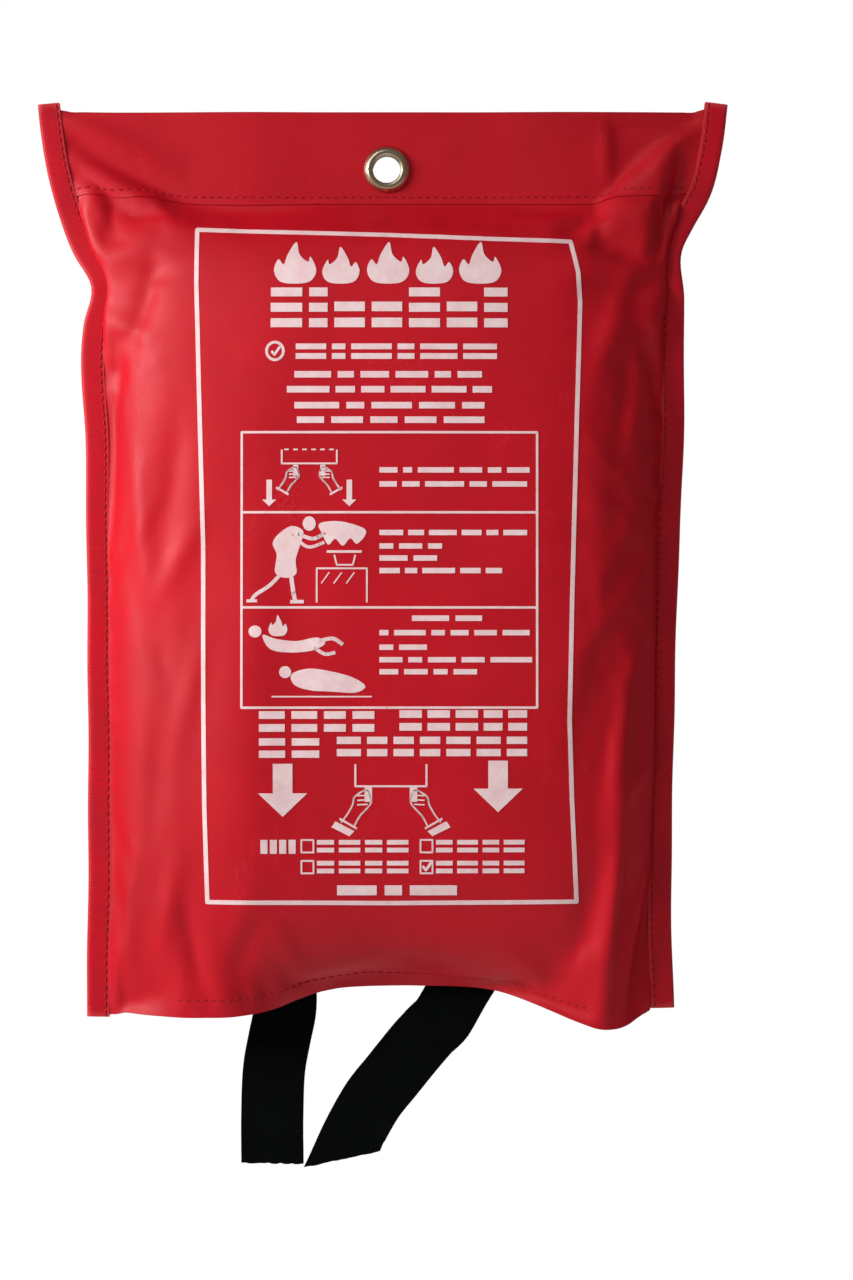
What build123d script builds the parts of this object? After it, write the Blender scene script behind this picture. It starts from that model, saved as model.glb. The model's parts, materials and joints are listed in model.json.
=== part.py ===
"""Fire blanket in a soft hanging pouch with two pull tapes.

Units are millimetres.  +Z is up, the printed front faces -Y, the wall is at +Y.
The origin is the centre of the hanging grommet's bore, midway through the header.
"""
import math
import os

from build123d import *

# ---- pouch fabric -------------------------------------------------------
SHEET = 0.8                 # coated fabric, one layer
HEADER_HALF = 136.8         # half width of the header at its top
SHOULDER_HALF = 131.0       # half width where the sides start to draw in
BODY_HALF = 117.0           # half width of the filled body, bindings included
HEADER_FLARE = 0.16         # how fast the header widens upwards
SHOULDER_Z = -10.0
NECK_Z = -42.0
HEADER_TOP = 22.0           # top edge of the header above the grommet
HEADER_LINE = -14.4         # lower edge of the header facing
PANEL_BOTTOM = -336.0       # corners of the mouth

# ---- pocket the blanket sits in -----------------------------------------
POCKET_HALF = 108.2
POCKET_TOP = -15.0
FRONT_DEPTH = 29.8
BACK_DEPTH = 6.8
SHOULDER_ROUND = 24.0
FRONT_CORNER = 22.0
BACK_CORNER = 6.0
LIP_START = -286.0          # below this line the front panel flexes
LIP_BOTTOM = -328.0
LIP_BACK_Y = 2.0            # front face of the hem where the mouth is held shut
LIP_TURN_DROP = 14.0        # straight part of the lip before it turns under the pack
LIP_UNDER_DROP = 25.5       # where the turned-under part nears the back panel
LIP_HEM_DROP = 29.0         # where the hem hangs straight again
LIP_HEM_RUN = 5.0

# ---- edge binding --------------------------------------------------------
BINDING_WIDTH = 8.0
BINDING_TOP = 26.0
BINDING_BOTTOM = -338.0
BINDING_FRONT = -3 * SHEET
BINDING_BACK = 2 * SHEET

# ---- grommet ---------------------------------------------------------------
BORE_R = 5.4
BARREL_R = 6.2
GROMMET_R = 9.25
RIM_HEIGHT = 2.0
RIM_LEAD_IN = 0.7           # rounding where the rim rolls into the bore
RIM_LAND = 1.7              # from the bore to the rim's highest ring
RIM_SHOULDER = 0.8
ROLL_R = 7.6
ROLL_HEIGHT = 1.0
PUNCHED_R = 6.3             # hole punched through every header layer

# ---- hook and loop closure -------------------------------------------------
STRIP_LENGTH = 34.0
STRIP_HEIGHT = 11.5
STRIP_CENTRE_X = -5.0
STRIP_TOP = -316.0
STRIP_MEET_Y = 4.4          # plane where hooks meet loops

# ---- folded blanket ----------------------------------------------------------
PACK_HALF = 102.0
PACK_TOP = -45.0
PACK_BOTTOM = -300.0
PACK_FRONT_Y = -28.4
PACK_BACK_Y = 3.6
PACK_TOP_ROUND = 15.0
PACK_BOTTOM_ROUND = 10.0
PACK_SIDE_ROUND = 15.5

# ---- pull tapes ----------------------------------------------------------------
TAPE_WIDTH = 25.0
TAPE_THICK = 1.5
TAPE_SEWN = 60.0            # length held between the blanket's layers
TAPE_INNER_Y = -4.0         # plane of the sewn part
TAPE_OUTER_Y = 4.35         # plane of the hanging part
TAPE_BEND_TOP = -302.0
TAPE_BEND_BOTTOM = -314.0
HINGE_Z = -330.5
HINGE_GAP = 0.3
LEFT_TAPE_X = -45.0
LEFT_TAPE_END = -402.0
RIGHT_SEWN_X = 52.0
RIGHT_EXIT_X = 29.0
RIGHT_TAIL_ANGLE = 37.5     # from the vertical, towards the left tape
RIGHT_TAIL_LENGTH = 83.0
SLOT_GAP = 0.3              # room around the sewn part in the pack

FAR = 400.0                 # construction solids are cut well outside the part


def in_xz(points, y_low, y_high):
    """Prism of a front-view outline between two Y planes."""
    face = make_face(Polyline(*points, close=True))
    return extrude(Plane.XZ.offset(-y_high) * face, y_high - y_low)


def in_yz(points, x_low, x_high):
    """Prism of a side-view outline between two X planes."""
    face = make_face(Polyline(*points, close=True))
    return extrude(Plane.YZ.offset(x_low) * face, x_high - x_low)


def block(x_low, x_high, y_low, y_high, z_low, z_high):
    """Box between limits."""
    size = (x_high - x_low, y_high - y_low, z_high - z_low)
    centre = ((x_low + x_high) / 2, (y_low + y_high) / 2, (z_low + z_high) / 2)
    return Pos(*centre) * Box(*size)


def outline(inset, z_low, z_high, y_low, y_high):
    """Front outline of the pouch, drawn in by an inset, as a slab."""
    right = [
        (HEADER_HALF + (FAR - BINDING_TOP) * HEADER_FLARE, FAR),
        (SHOULDER_HALF, SHOULDER_Z),
        (BODY_HALF, NECK_Z),
        (BODY_HALF, -2 * FAR),
    ]
    left = [(-x, z) for x, z in reversed(right)]
    face = make_face(Polyline(*right, *left, close=True))
    if inset:
        face = offset(face, -inset, kind=Kind.INTERSECTION)
    slab = extrude(Plane.XZ.offset(-y_high) * face, y_high - y_low)
    return slab & block(-FAR, FAR, -FAR, FAR, z_low, z_high)


def pocket(side_points, rounded_at, radius, depth_y, corner, inset):
    """Pocket volume: side profile crossed with a rounded plan section."""
    profile = make_face(Polyline(*side_points, close=True))
    corners = [
        v for v in profile.vertices()
        if math.dist((v.X, v.Y), rounded_at) < 0.1
    ]
    profile = fillet(corners, radius)
    open_y = -math.copysign(FAR / 4, depth_y)
    plan = make_face(Polyline(
        (-POCKET_HALF, open_y),
        (-POCKET_HALF, depth_y),
        (POCKET_HALF, depth_y),
        (POCKET_HALF, open_y),
        close=True,
    ))
    plan_corners = [v for v in plan.vertices() if abs(v.Y - depth_y) < 0.1]
    plan = fillet(plan_corners, corner)
    if inset:
        profile = offset(profile, -inset, kind=Kind.INTERSECTION)
        plan = offset(plan, -inset, kind=Kind.INTERSECTION)
    across = extrude(Plane.YZ.offset(-FAR) * profile, 2 * FAR)
    upright = extrude(Plane.XY.offset(-2 * FAR) * plan, 4 * FAR)
    return across & upright


def front_pocket(inset):
    """Volume behind the front panel."""
    points = [
        (FAR / 4, POCKET_TOP),
        (0, POCKET_TOP),
        (-FRONT_DEPTH, POCKET_TOP - SHOULDER_ROUND),
        (-FRONT_DEPTH, -FAR),
        (FAR / 4, -FAR),
    ]
    return pocket(points, points[2], SHOULDER_ROUND, -FRONT_DEPTH, FRONT_CORNER, inset)


def back_pocket(inset):
    """Volume in front of the back panel."""
    points = [
        (-FAR / 4, POCKET_TOP),
        (0, POCKET_TOP),
        (BACK_DEPTH, POCKET_TOP - 2 * BACK_DEPTH),
        (BACK_DEPTH, -FAR),
        (-FAR / 4, -FAR),
    ]
    return pocket(points, points[2], SHOULDER_ROUND / 2, BACK_DEPTH, BACK_CORNER, inset)


def lip_pocket(inset):
    """Volume held in by the lip: down the front, back under the pack, down the hem."""
    points = [
        (FAR / 4, LIP_START + FRONT_DEPTH),
        (-FRONT_DEPTH, LIP_START + FRONT_DEPTH),
        (-FRONT_DEPTH, LIP_START - LIP_TURN_DROP),
        (LIP_BACK_Y - LIP_HEM_RUN, LIP_START - LIP_UNDER_DROP),
        (LIP_BACK_Y, LIP_START - LIP_HEM_DROP),
        (LIP_BACK_Y, -FAR),
        (FAR / 4, -FAR),
    ]
    return pocket(points, points[2], FRONT_CORNER / 2, -FRONT_DEPTH, FRONT_CORNER, inset)


def punched(header_piece):
    """Header layer with the grommet hole through it."""
    return header_piece - Rot(90, 0, 0) * Cylinder(PUNCHED_R, 2 * FRONT_DEPTH)


def make_front_panel():
    flat = outline(SHEET, PANEL_BOTTOM, HEADER_TOP, -SHEET, 0)
    swell = front_pocket(0) & block(-FAR, FAR, -FAR, 0, LIP_START, FAR)
    return punched(flat + swell - front_pocket(SHEET))


def make_front_lip():
    lip = lip_pocket(0) - lip_pocket(SHEET)
    lip = lip & block(-FAR, FAR, -FAR, LIP_BACK_Y + SHEET, LIP_BOTTOM, LIP_START)
    clear_x = POCKET_HALF - 1.5 * SHEET
    for side in (-1, 1):
        ends = sorted((side * clear_x, side * FAR))
        lip = lip - block(*ends, -SHEET, FAR, -FAR, FAR)
    return lip


def make_back_panel():
    flat = outline(SHEET, PANEL_BOTTOM, HEADER_TOP, 0, SHEET)
    swell = back_pocket(0) & block(-FAR, FAR, 0, FAR, PANEL_BOTTOM, FAR)
    return punched(flat + swell - back_pocket(SHEET))


def make_header_facing():
    return punched(outline(SHEET, HEADER_LINE, HEADER_TOP, -2 * SHEET, -SHEET))


def make_binding(side):
    """Tape folded over one edge of the stacked panels."""
    limits = (BINDING_BOTTOM, BINDING_TOP, BINDING_FRONT, BINDING_BACK)
    tape = outline(0, *limits) - outline(BINDING_WIDTH, *limits)
    tape = tape & block(*sorted((0, side * FAR)), -FAR, FAR, -FAR, FAR)
    panels = outline(SHEET, PANEL_BOTTOM, HEADER_TOP, -SHEET, SHEET)
    facing = outline(SHEET, HEADER_LINE, HEADER_TOP, -2 * SHEET, -SHEET)
    return tape - panels - facing


def turned(points):
    """Ring from a half section given as (radius, y)."""
    face = make_face(Polyline(*points, close=True))
    return revolve(face, Axis.Y)


def make_grommet_eyelet():
    front = -2 * SHEET
    back = 2 * SHEET
    rim = front - RIM_HEIGHT
    return turned([
        (BORE_R, back + ROLL_HEIGHT),
        (BORE_R, rim + RIM_LEAD_IN),
        (BORE_R + RIM_LEAD_IN, rim + RIM_LEAD_IN / 4),
        (BORE_R + RIM_LAND, rim),
        (GROMMET_R - RIM_SHOULDER, rim + RIM_SHOULDER),
        (GROMMET_R, front),
        (BARREL_R, front),
        (BARREL_R, back),
        (ROLL_R, back),
        (ROLL_R - RIM_LEAD_IN, back + ROLL_HEIGHT),
    ])


def make_grommet_washer():
    return turned([
        (PUNCHED_R, SHEET),
        (GROMMET_R, SHEET),
        (GROMMET_R, 2 * SHEET),
        (PUNCHED_R, 2 * SHEET),
    ])


def make_closure_strip(y_low, y_high):
    half = STRIP_LENGTH / 2
    return block(
        STRIP_CENTRE_X - half, STRIP_CENTRE_X + half,
        y_low, y_high,
        STRIP_TOP - STRIP_HEIGHT, STRIP_TOP,
    )


def make_folded_blanket():
    """Pack of folds, with a slot for each sewn tape."""
    pack = block(-PACK_HALF, PACK_HALF, PACK_FRONT_Y, PACK_BACK_Y, PACK_BOTTOM, PACK_TOP)
    pack = fillet(
        [e for e in pack.edges().filter_by(Axis.Z) if e.center().Y < 0],
        PACK_SIDE_ROUND,
    )
    front_top = pack.edges().filter_by(Axis.X).group_by(Axis.Z)[-1].sort_by(Axis.Y)[0]
    pack = fillet(front_top, PACK_TOP_ROUND)
    front_low = pack.edges().filter_by(Axis.X).group_by(Axis.Z)[0].sort_by(Axis.Y)[0]
    pack = fillet(front_low, PACK_BOTTOM_ROUND)
    half = TAPE_WIDTH / 2 + SLOT_GAP
    depth = TAPE_THICK / 2 + SLOT_GAP
    slot_top = PACK_BOTTOM + TAPE_SEWN + SLOT_GAP
    for centre in (LEFT_TAPE_X, RIGHT_SEWN_X):
        pack = pack - block(
            centre - half, centre + half,
            TAPE_INNER_Y - depth, TAPE_INNER_Y + depth,
            PACK_BOTTOM - 1, slot_top,
        )
    return pack


def tape_side_view(x_low, x_high):
    """Thickness of a sewn tape seen from the side, between two X planes."""
    top = PACK_BOTTOM + TAPE_SEWN
    end = HINGE_Z + TAPE_THICK / 2 + HINGE_GAP
    half = TAPE_THICK / 2
    return in_yz([
        (TAPE_INNER_Y - half, top),
        (TAPE_INNER_Y + half, top),
        (TAPE_INNER_Y + half, TAPE_BEND_TOP),
        (TAPE_OUTER_Y + half, TAPE_BEND_BOTTOM),
        (TAPE_OUTER_Y + half, end),
        (TAPE_OUTER_Y - half, end),
        (TAPE_OUTER_Y - half, TAPE_BEND_BOTTOM - half),
        (TAPE_INNER_Y - half, TAPE_BEND_TOP - half),
    ], x_low, x_high)


def make_left_tape_sewn():
    half = TAPE_WIDTH / 2
    return tape_side_view(LEFT_TAPE_X - half, LEFT_TAPE_X + half)


def make_right_tape_sewn():
    """Runs straight in the pack, then slants across to its exit."""
    half = TAPE_WIDTH / 2
    wide = half / math.cos(math.radians(RIGHT_TAIL_ANGLE))
    front_view = in_xz([
        (RIGHT_SEWN_X - half, PACK_BOTTOM + TAPE_SEWN),
        (RIGHT_SEWN_X + half, PACK_BOTTOM + TAPE_SEWN),
        (RIGHT_SEWN_X + half, TAPE_BEND_TOP),
        (RIGHT_EXIT_X + wide, HINGE_Z),
        (RIGHT_EXIT_X - wide, HINGE_Z),
        (RIGHT_SEWN_X - half, TAPE_BEND_TOP),
    ], -FAR / 4, FAR / 4)
    return front_view & tape_side_view(-FAR, FAR)


def round_top(x_low, x_high):
    """Rounded upper end of a tail, centred on the line it swings about."""
    bar = Rot(0, 90, 0) * Cylinder(TAPE_THICK / 2, x_high - x_low)
    return Pos((x_low + x_high) / 2, TAPE_OUTER_Y, HINGE_Z) * bar


def make_left_tape_tail():
    x_low = LEFT_TAPE_X - TAPE_WIDTH / 2
    x_high = LEFT_TAPE_X + TAPE_WIDTH / 2
    y_low = TAPE_OUTER_Y - TAPE_THICK / 2
    strip = block(x_low, x_high, y_low, y_low + TAPE_THICK, LEFT_TAPE_END, HINGE_Z)
    return strip + round_top(x_low, x_high)


def make_right_tape_tail():
    """Slants down to the left and is cut square to its own length."""
    angle = math.radians(RIGHT_TAIL_ANGLE)
    half = TAPE_WIDTH / 2
    wide = half / math.cos(angle)
    end_x = RIGHT_EXIT_X - RIGHT_TAIL_LENGTH * math.sin(angle)
    end_z = HINGE_Z - RIGHT_TAIL_LENGTH * math.cos(angle)
    across_x = half * math.cos(angle)
    across_z = half * math.sin(angle)
    y_low = TAPE_OUTER_Y - TAPE_THICK / 2
    strip = in_xz([
        (RIGHT_EXIT_X - wide, HINGE_Z),
        (RIGHT_EXIT_X + wide, HINGE_Z),
        (end_x + across_x, end_z - across_z),
        (end_x - across_x, end_z + across_z),
    ], y_low, y_low + TAPE_THICK)
    return strip + round_top(RIGHT_EXIT_X - wide, RIGHT_EXIT_X + wide)


def make_parts():
    return {
        "front_panel": make_front_panel(),
        "front_lip": make_front_lip(),
        "back_panel": make_back_panel(),
        "header_facing": make_header_facing(),
        "left_edge_binding": make_binding(-1),
        "right_edge_binding": make_binding(1),
        "grommet_eyelet": make_grommet_eyelet(),
        "grommet_washer": make_grommet_washer(),
        "loop_strip": make_closure_strip(LIP_BACK_Y + SHEET, STRIP_MEET_Y),
        "hook_strip": make_closure_strip(STRIP_MEET_Y, BACK_DEPTH - SHEET),
        "folded_blanket": make_folded_blanket(),
        "left_tape_sewn": make_left_tape_sewn(),
        "right_tape_sewn": make_right_tape_sewn(),
        "left_tape_tail": make_left_tape_tail(),
        "right_tape_tail": make_right_tape_tail(),
    }


os.makedirs("parts", exist_ok=True)
for name, solid in make_parts().items():
    export_step(solid, f"parts/{name}.step")
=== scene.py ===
"""Fire blanket in its soft pouch: the looks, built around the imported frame.

Metres throughout.  +Z is up, the printed front faces -Y, the origin is the centre
of the hanging grommet.  The pouch is sewn flat and filled by a cloth simulation.
"""
import json
import math
import random

import bmesh
import bpy
import numpy as np
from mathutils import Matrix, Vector
from mathutils.bvhtree import BVHTree


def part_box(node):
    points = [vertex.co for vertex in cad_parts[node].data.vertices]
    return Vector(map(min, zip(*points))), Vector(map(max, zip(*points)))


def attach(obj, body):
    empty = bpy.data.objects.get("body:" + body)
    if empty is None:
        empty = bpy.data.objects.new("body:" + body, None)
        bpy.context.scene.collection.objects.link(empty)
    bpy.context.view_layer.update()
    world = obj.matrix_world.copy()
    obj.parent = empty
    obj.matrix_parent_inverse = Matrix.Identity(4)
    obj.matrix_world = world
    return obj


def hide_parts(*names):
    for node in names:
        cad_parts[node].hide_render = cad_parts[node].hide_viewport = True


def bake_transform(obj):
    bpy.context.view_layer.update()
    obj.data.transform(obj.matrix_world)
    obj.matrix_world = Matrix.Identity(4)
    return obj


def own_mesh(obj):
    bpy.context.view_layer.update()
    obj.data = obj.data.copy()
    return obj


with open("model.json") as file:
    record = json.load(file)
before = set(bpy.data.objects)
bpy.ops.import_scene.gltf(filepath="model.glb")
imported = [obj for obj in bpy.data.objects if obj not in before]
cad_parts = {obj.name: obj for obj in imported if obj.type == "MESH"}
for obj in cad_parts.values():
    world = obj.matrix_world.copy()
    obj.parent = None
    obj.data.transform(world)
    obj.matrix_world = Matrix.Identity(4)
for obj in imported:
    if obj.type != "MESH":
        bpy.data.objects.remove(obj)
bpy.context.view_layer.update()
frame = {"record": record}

MM = 0.001

# ---- places read from the frame ------------------------------------------
HEADER_TOP = float(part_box("header_facing")[1][2])
HEADER_LINE = float(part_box("header_facing")[0][2])
BINDING_TOP = float(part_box("left_edge_binding")[1][2])
BINDING_BOTTOM = float(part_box("left_edge_binding")[0][2])
PACK_LOW = np.array(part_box("folded_blanket")[0], float)
PACK_HIGH = np.array(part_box("folded_blanket")[1], float)
EYELET_LOW = np.array(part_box("grommet_eyelet")[0], float)
EYELET_HIGH = np.array(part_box("grommet_eyelet")[1], float)
STRIP_LOW = np.array(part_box("loop_strip")[0], float)
STRIP_HIGH = np.array(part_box("loop_strip")[1], float)
BORE_R = frame["record"]["mounts"][0]["dims"]["r_mm"] * MM

# ---- flat cut of the pouch -------------------------------------------------
HALF_WIDTH = 136 * MM          # each panel, seam to seam, half
HEM = -344 * MM                # lower edge of the flat panels
PITCH = 4 * MM
COLS = round(2 * HALF_WIDTH / PITCH)
ROWS = round((HEADER_TOP - HEM) / PITCH)
FLANGE = 8 * MM                # both panels sewn together inside the bindings
CLOTH = 0.5 * MM               # coated fabric
SKIN = 0.55 * MM               # outer face of each panel, from the simulated surface
OUTLINE_MARGIN = 1.0 * MM      # room for the binding tape outside the cloth edge
BODY_EASE = 11 * MM            # taken out of each panel's half width below the header
MOUTH_GAP = 3.4 * MM           # room between the panels for the fasteners and the tapes
TAPE_PLANE = 5.0 * MM          # back face of the hanging tapes
SEWN_HEM = 5 * MM              # height of the strip where the mouth is fastened shut
SEWN_EDGE = HALF_WIDTH - FLANGE - 0.1 * MM   # where the panels part beside the seams
FINER = 2  # steps added between simulated points

PACK_DEPTH = 29.0 * MM         # how far the filled front stands off the header plane
BACK_SWELL = 7.0 * MM
SEAM_Y = -7.0 * MM             # plane of the side seams beside the pack
FILL_FRAMES = 30
SIM_FRAMES = 45
SIM_SCALE = 10.0               # the solver is steadier on a larger bag

# outline of the filled pouch: height and half width, from the header to the hem
LEFT_OUTLINE = [(30, 139.9), (14, 138.4), (-2, 136), (-18, 131.5), (-34, 125), (-47, 117.8),
                (-62, 120.6), (-110, 119.6), (-200, 119.2), (-292, 118.6), (-350, 119.4)]
RIGHT_OUTLINE = [(30, 136.6), (8, 133.5), (-12, 128.5), (-24, 122), (-32, 118.0),
                 (-52, 118.4), (-100, 118.4), (-172, 115.2), (-240, 114), (-300, 113.4),
                 (-350, 114.4)]

LEFT_END = BINDING_BOTTOM + 0.3 * MM     # lower ends of the two bindings
RIGHT_END = BINDING_BOTTOM + 3.8 * MM

# lower edges of the front and back panels from seam to seam, drawn up where the mouth closes
FRONT_HEM = [(-111, -7, -337.5), (-104, -10, -336), (-94, -15, -336.5), (-78, -19, -337),
             (-60, -19, -336.5), (-47, -14, -334.5), (-35, -7, -330.5), (-24, -2.4, -327.5),
             (-10, -1, -326.2), (12, -1, -325.8), (30, -1.2, -326), (42, -3.5, -327.3),
             (53, -8, -330.5), (64, -13, -334.5), (75, -17, -338.8), (85, -17.5, -341.8),
             (94, -14, -341), (101, -10, -336.8), (107, -7, -333.6)]
BACK_HEM = [(-111, -7, -337.5), (-100, -4, -336), (-78, 3, -334.5), (-55, 7, -332),
            (-38, 7.4, -328.5), (-24, 3, -326.8), (-10, -1, -326.2), (12, -1, -325.8),
            (22, 5, -325.8), (36, 8, -326.5), (52, 7.5, -329), (76, 3.6, -333.5),
            (98, -3, -334), (107, -7, -333.6)]


# ---- small helpers -----------------------------------------------------------
def link(name, data):
    """A new object in the scene."""
    obj = bpy.data.objects.new(name, data)
    bpy.context.scene.collection.objects.link(obj)
    return obj


def new_object(name, verts, faces):
    """A smooth-shaded mesh object from points and faces."""
    mesh = bpy.data.meshes.new(name)
    mesh.from_pydata([tuple(v) for v in verts], [], [tuple(f) for f in faces])
    mesh.update()
    mesh.polygons.foreach_set("use_smooth", [True] * len(mesh.polygons))
    return link(name, mesh)


def face_outward(obj):
    """Turn every face of a closed mesh outward."""
    bm = bmesh.new()
    bm.from_mesh(obj.data)
    bmesh.ops.recalc_face_normals(bm, faces=bm.faces)
    bm.to_mesh(obj.data)
    bm.free()


def finish_piece(obj, body, material, node=None):
    """Give a piece its material and body, and hide the CAD node that it stands for."""
    obj.data.materials.clear()
    obj.data.materials.append(material)
    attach(obj, body)
    if node:
        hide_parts(node)


def smoothstep(edge0, edge1, x):
    """0 at the first edge, 1 at the second, eased between them."""
    t = np.clip((np.asarray(x, float) - edge0) / (edge1 - edge0), 0, 1)
    return t * t * (3 - 2 * t)


def unit(v):
    """Vectors at length 1."""
    return v / np.maximum(np.linalg.norm(v, axis=-1, keepdims=True), 1e-12)


def run_length(points):
    """Length along a line of points, from 0 at its first."""
    return np.concatenate([[0], np.cumsum(np.linalg.norm(np.diff(points, axis=0), axis=1))])


def bilinear(grid, i, j, u, v):
    """Values of a grid inside its cells (i, j), at shares u and v of each cell."""
    near = grid[i, j] * (1 - u) + grid[i + 1, j] * u
    far = grid[i, j + 1] * (1 - u) + grid[i + 1, j + 1] * u
    return near * (1 - v) + far * v


def cells(values):
    """Middle value of each cell of a grid, from two opposite corners."""
    return (values[:-1, :-1] + values[1:, 1:]) / 2


def hermite(points, z):
    """Smooth curve through (z, x) points that run downwards, read at heights z."""
    zs = np.array([p[0] for p in points], float)
    xs = np.array([p[1] for p in points], float)
    slope = np.gradient(xs, zs)
    n = np.clip(np.searchsorted(-zs, -z, side="right") - 1, 0, len(zs) - 2)
    h = zs[n + 1] - zs[n]
    u = (z - zs[n]) / h
    a = (2 * u**3 - 3 * u**2 + 1) * xs[n] + (u**3 - 2 * u**2 + u) * h * slope[n]
    b = (-2 * u**3 + 3 * u**2) * xs[n + 1] + (u**3 - u**2) * h * slope[n + 1]
    return a + b


def smooth_line(points, shares):
    """Places on a smooth line through the points, at shares of its whole length."""
    p = np.array(points, float) * MM
    dense = refine(p[:, None], 40)[:, 0]
    run = run_length(dense)
    want = np.asarray(shares) * run[-1]
    return np.stack([np.interp(want, run, dense[:, k]) for k in range(3)], -1)


# ---- the flat bag, its targets and the simulation ------------------------------
def flat_grid():
    """Across and height of every point of a flat panel."""
    s = np.linspace(-HALF_WIDTH, HALF_WIDTH, COLS + 1)
    t = np.linspace(HEADER_TOP, HEM, ROWS + 1)
    return np.meshgrid(s, t, indexing="ij")


def seam_target(side, outline, s, t, bottom=None):
    """Where a flat seam point ends up: along the outline, inset square to it.

    With a bottom height, the seam is eased in so that the hem ends there.
    """
    z = np.linspace(outline[0][0], outline[-1][0], 900)
    x = hermite(outline, z) * MM
    z = z * MM
    run = np.concatenate([[0], np.cumsum(np.hypot(np.diff(x), np.diff(z)))])
    start = np.interp(-HEADER_TOP, -z, run)
    ease = 1.0
    if bottom is not None:
        ease = (np.interp(-bottom, -z, run) - start) / (HEADER_TOP - HEM)
    along = start + (HEADER_TOP - t) * ease
    px, pz = np.interp(along, run, x), np.interp(along, run, z)
    step = 4 * MM
    tx = np.interp(along + step, run, x) - np.interp(along - step, run, x)
    tz = np.interp(along + step, run, z) - np.interp(along - step, run, z)
    length = np.maximum(np.hypot(tx, tz), 1e-9)
    inset = HALF_WIDTH - abs(s) + OUTLINE_MARGIN
    px = px + tz / length * inset
    pz = pz - tx / length * inset
    y = SEAM_Y * smoothstep(-14 * MM, -48 * MM, pz)
    return side * px, y, pz


def superellipse(c, n):
    """A cosine or sine bent towards the corners of a square as n grows."""
    return np.sign(c) * np.abs(c) ** (2 / n)


def pack_former(rings=44, around=72):
    """Closed form of the folded pack, with a lifted middle at its lower edge."""
    ph = np.linspace(-math.pi / 2, math.pi / 2, rings + 1)[:, None]
    th = np.linspace(0, 2 * math.pi, around, endpoint=False)[None, :]
    low, high = PACK_LOW[2] - 24 * MM, PACK_HIGH[2] + 22 * MM
    z = (low + high) / 2 + (high - low) / 2 * superellipse(np.sin(ph), 4.6)
    cap = np.clip(np.cos(ph), 0.02, 1)
    depth = np.where(ph > 0, cap ** (2 / 2.0), cap ** (2 / 2.3))
    width = cap ** (2 / 6.0)
    x = (PACK_HIGH[0] + 4.5 * MM) * width * superellipse(np.cos(th), 4.0)
    forward = superellipse(np.sin(th), 2.5)
    middle = -3 * MM
    reach = np.where(forward > 0, PACK_DEPTH + middle, BACK_SWELL - middle)
    y = middle - forward * reach * depth
    lift = 16 * MM * np.exp(-(((x - 8 * MM) / (36 * MM)) ** 2)) * smoothstep(-0.30, -0.345, z)
    z = z + lift + 0 * x
    full = np.stack([x, y + 0 * x, z], -1).reshape(-1, 3)
    thin = np.stack([x * 0.97, -0.1 * MM - forward * 0.4 * MM * depth, z], -1).reshape(-1, 3)
    faces = []
    for r in range(rings):
        for a in range(around):
            b = (a + 1) % around
            faces.append((r * around + a, r * around + b, (r + 1) * around + b, (r + 1) * around + a))
    faces.append(tuple(range(around))[::-1])
    faces.append(tuple(rings * around + a for a in range(around)))
    return full, thin, faces


def grow(obj, target):
    """Keyed morph of an object's mesh to its target over the filling frames."""
    obj.shape_key_add(name="flat")
    key = obj.shape_key_add(name="full")
    key.data.foreach_set("co", (target * SIM_SCALE).ravel())
    for value, at in ((0.0, 1), (1.0, FILL_FRAMES)):
        key.value = value
        key.keyframe_insert("value", frame=at)


def sew_flat(s, t):
    """Points of the flat bag, and the number of the point at each place of both panels."""
    sewn = (abs(s) >= SEWN_EDGE) | (t >= HEADER_LINE - 0.5 * PITCH)
    near, far = STRIP_LOW[0] - 2 * MM, STRIP_HIGH[0] + 2 * MM
    sewn |= (t <= HEM + SEWN_HEM) & (s >= near) & (s <= far)
    ease = np.clip((SEWN_EDGE - abs(s)) / (12 * MM), 0, 1)
    ease = ease * np.clip((HEADER_LINE - t) / (12 * MM), 0, 1)

    front = np.arange(s.size).reshape(s.shape)
    back = np.where(sewn, front, -1)
    back[~sewn] = s.size + np.arange((~sewn).sum())
    y_front = np.where(sewn, 0, -(0.6 + 1.8 * ease) * MM)
    y_back = (0.6 + 1.4 * ease) * MM
    lower = 5 * MM * np.exp(-(((s - 94 * MM) / (30 * MM)) ** 2)) * smoothstep(-200 * MM, HEM, t)
    cut = s * (1 - BODY_EASE / HALF_WIDTH * smoothstep(HEADER_LINE, -60 * MM, t))
    points = np.concatenate([
        np.stack([cut, y_front, t - lower], -1).reshape(-1, 3),
        np.stack([cut, y_back, t], -1)[~sewn],
    ])
    return front, back, points


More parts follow.
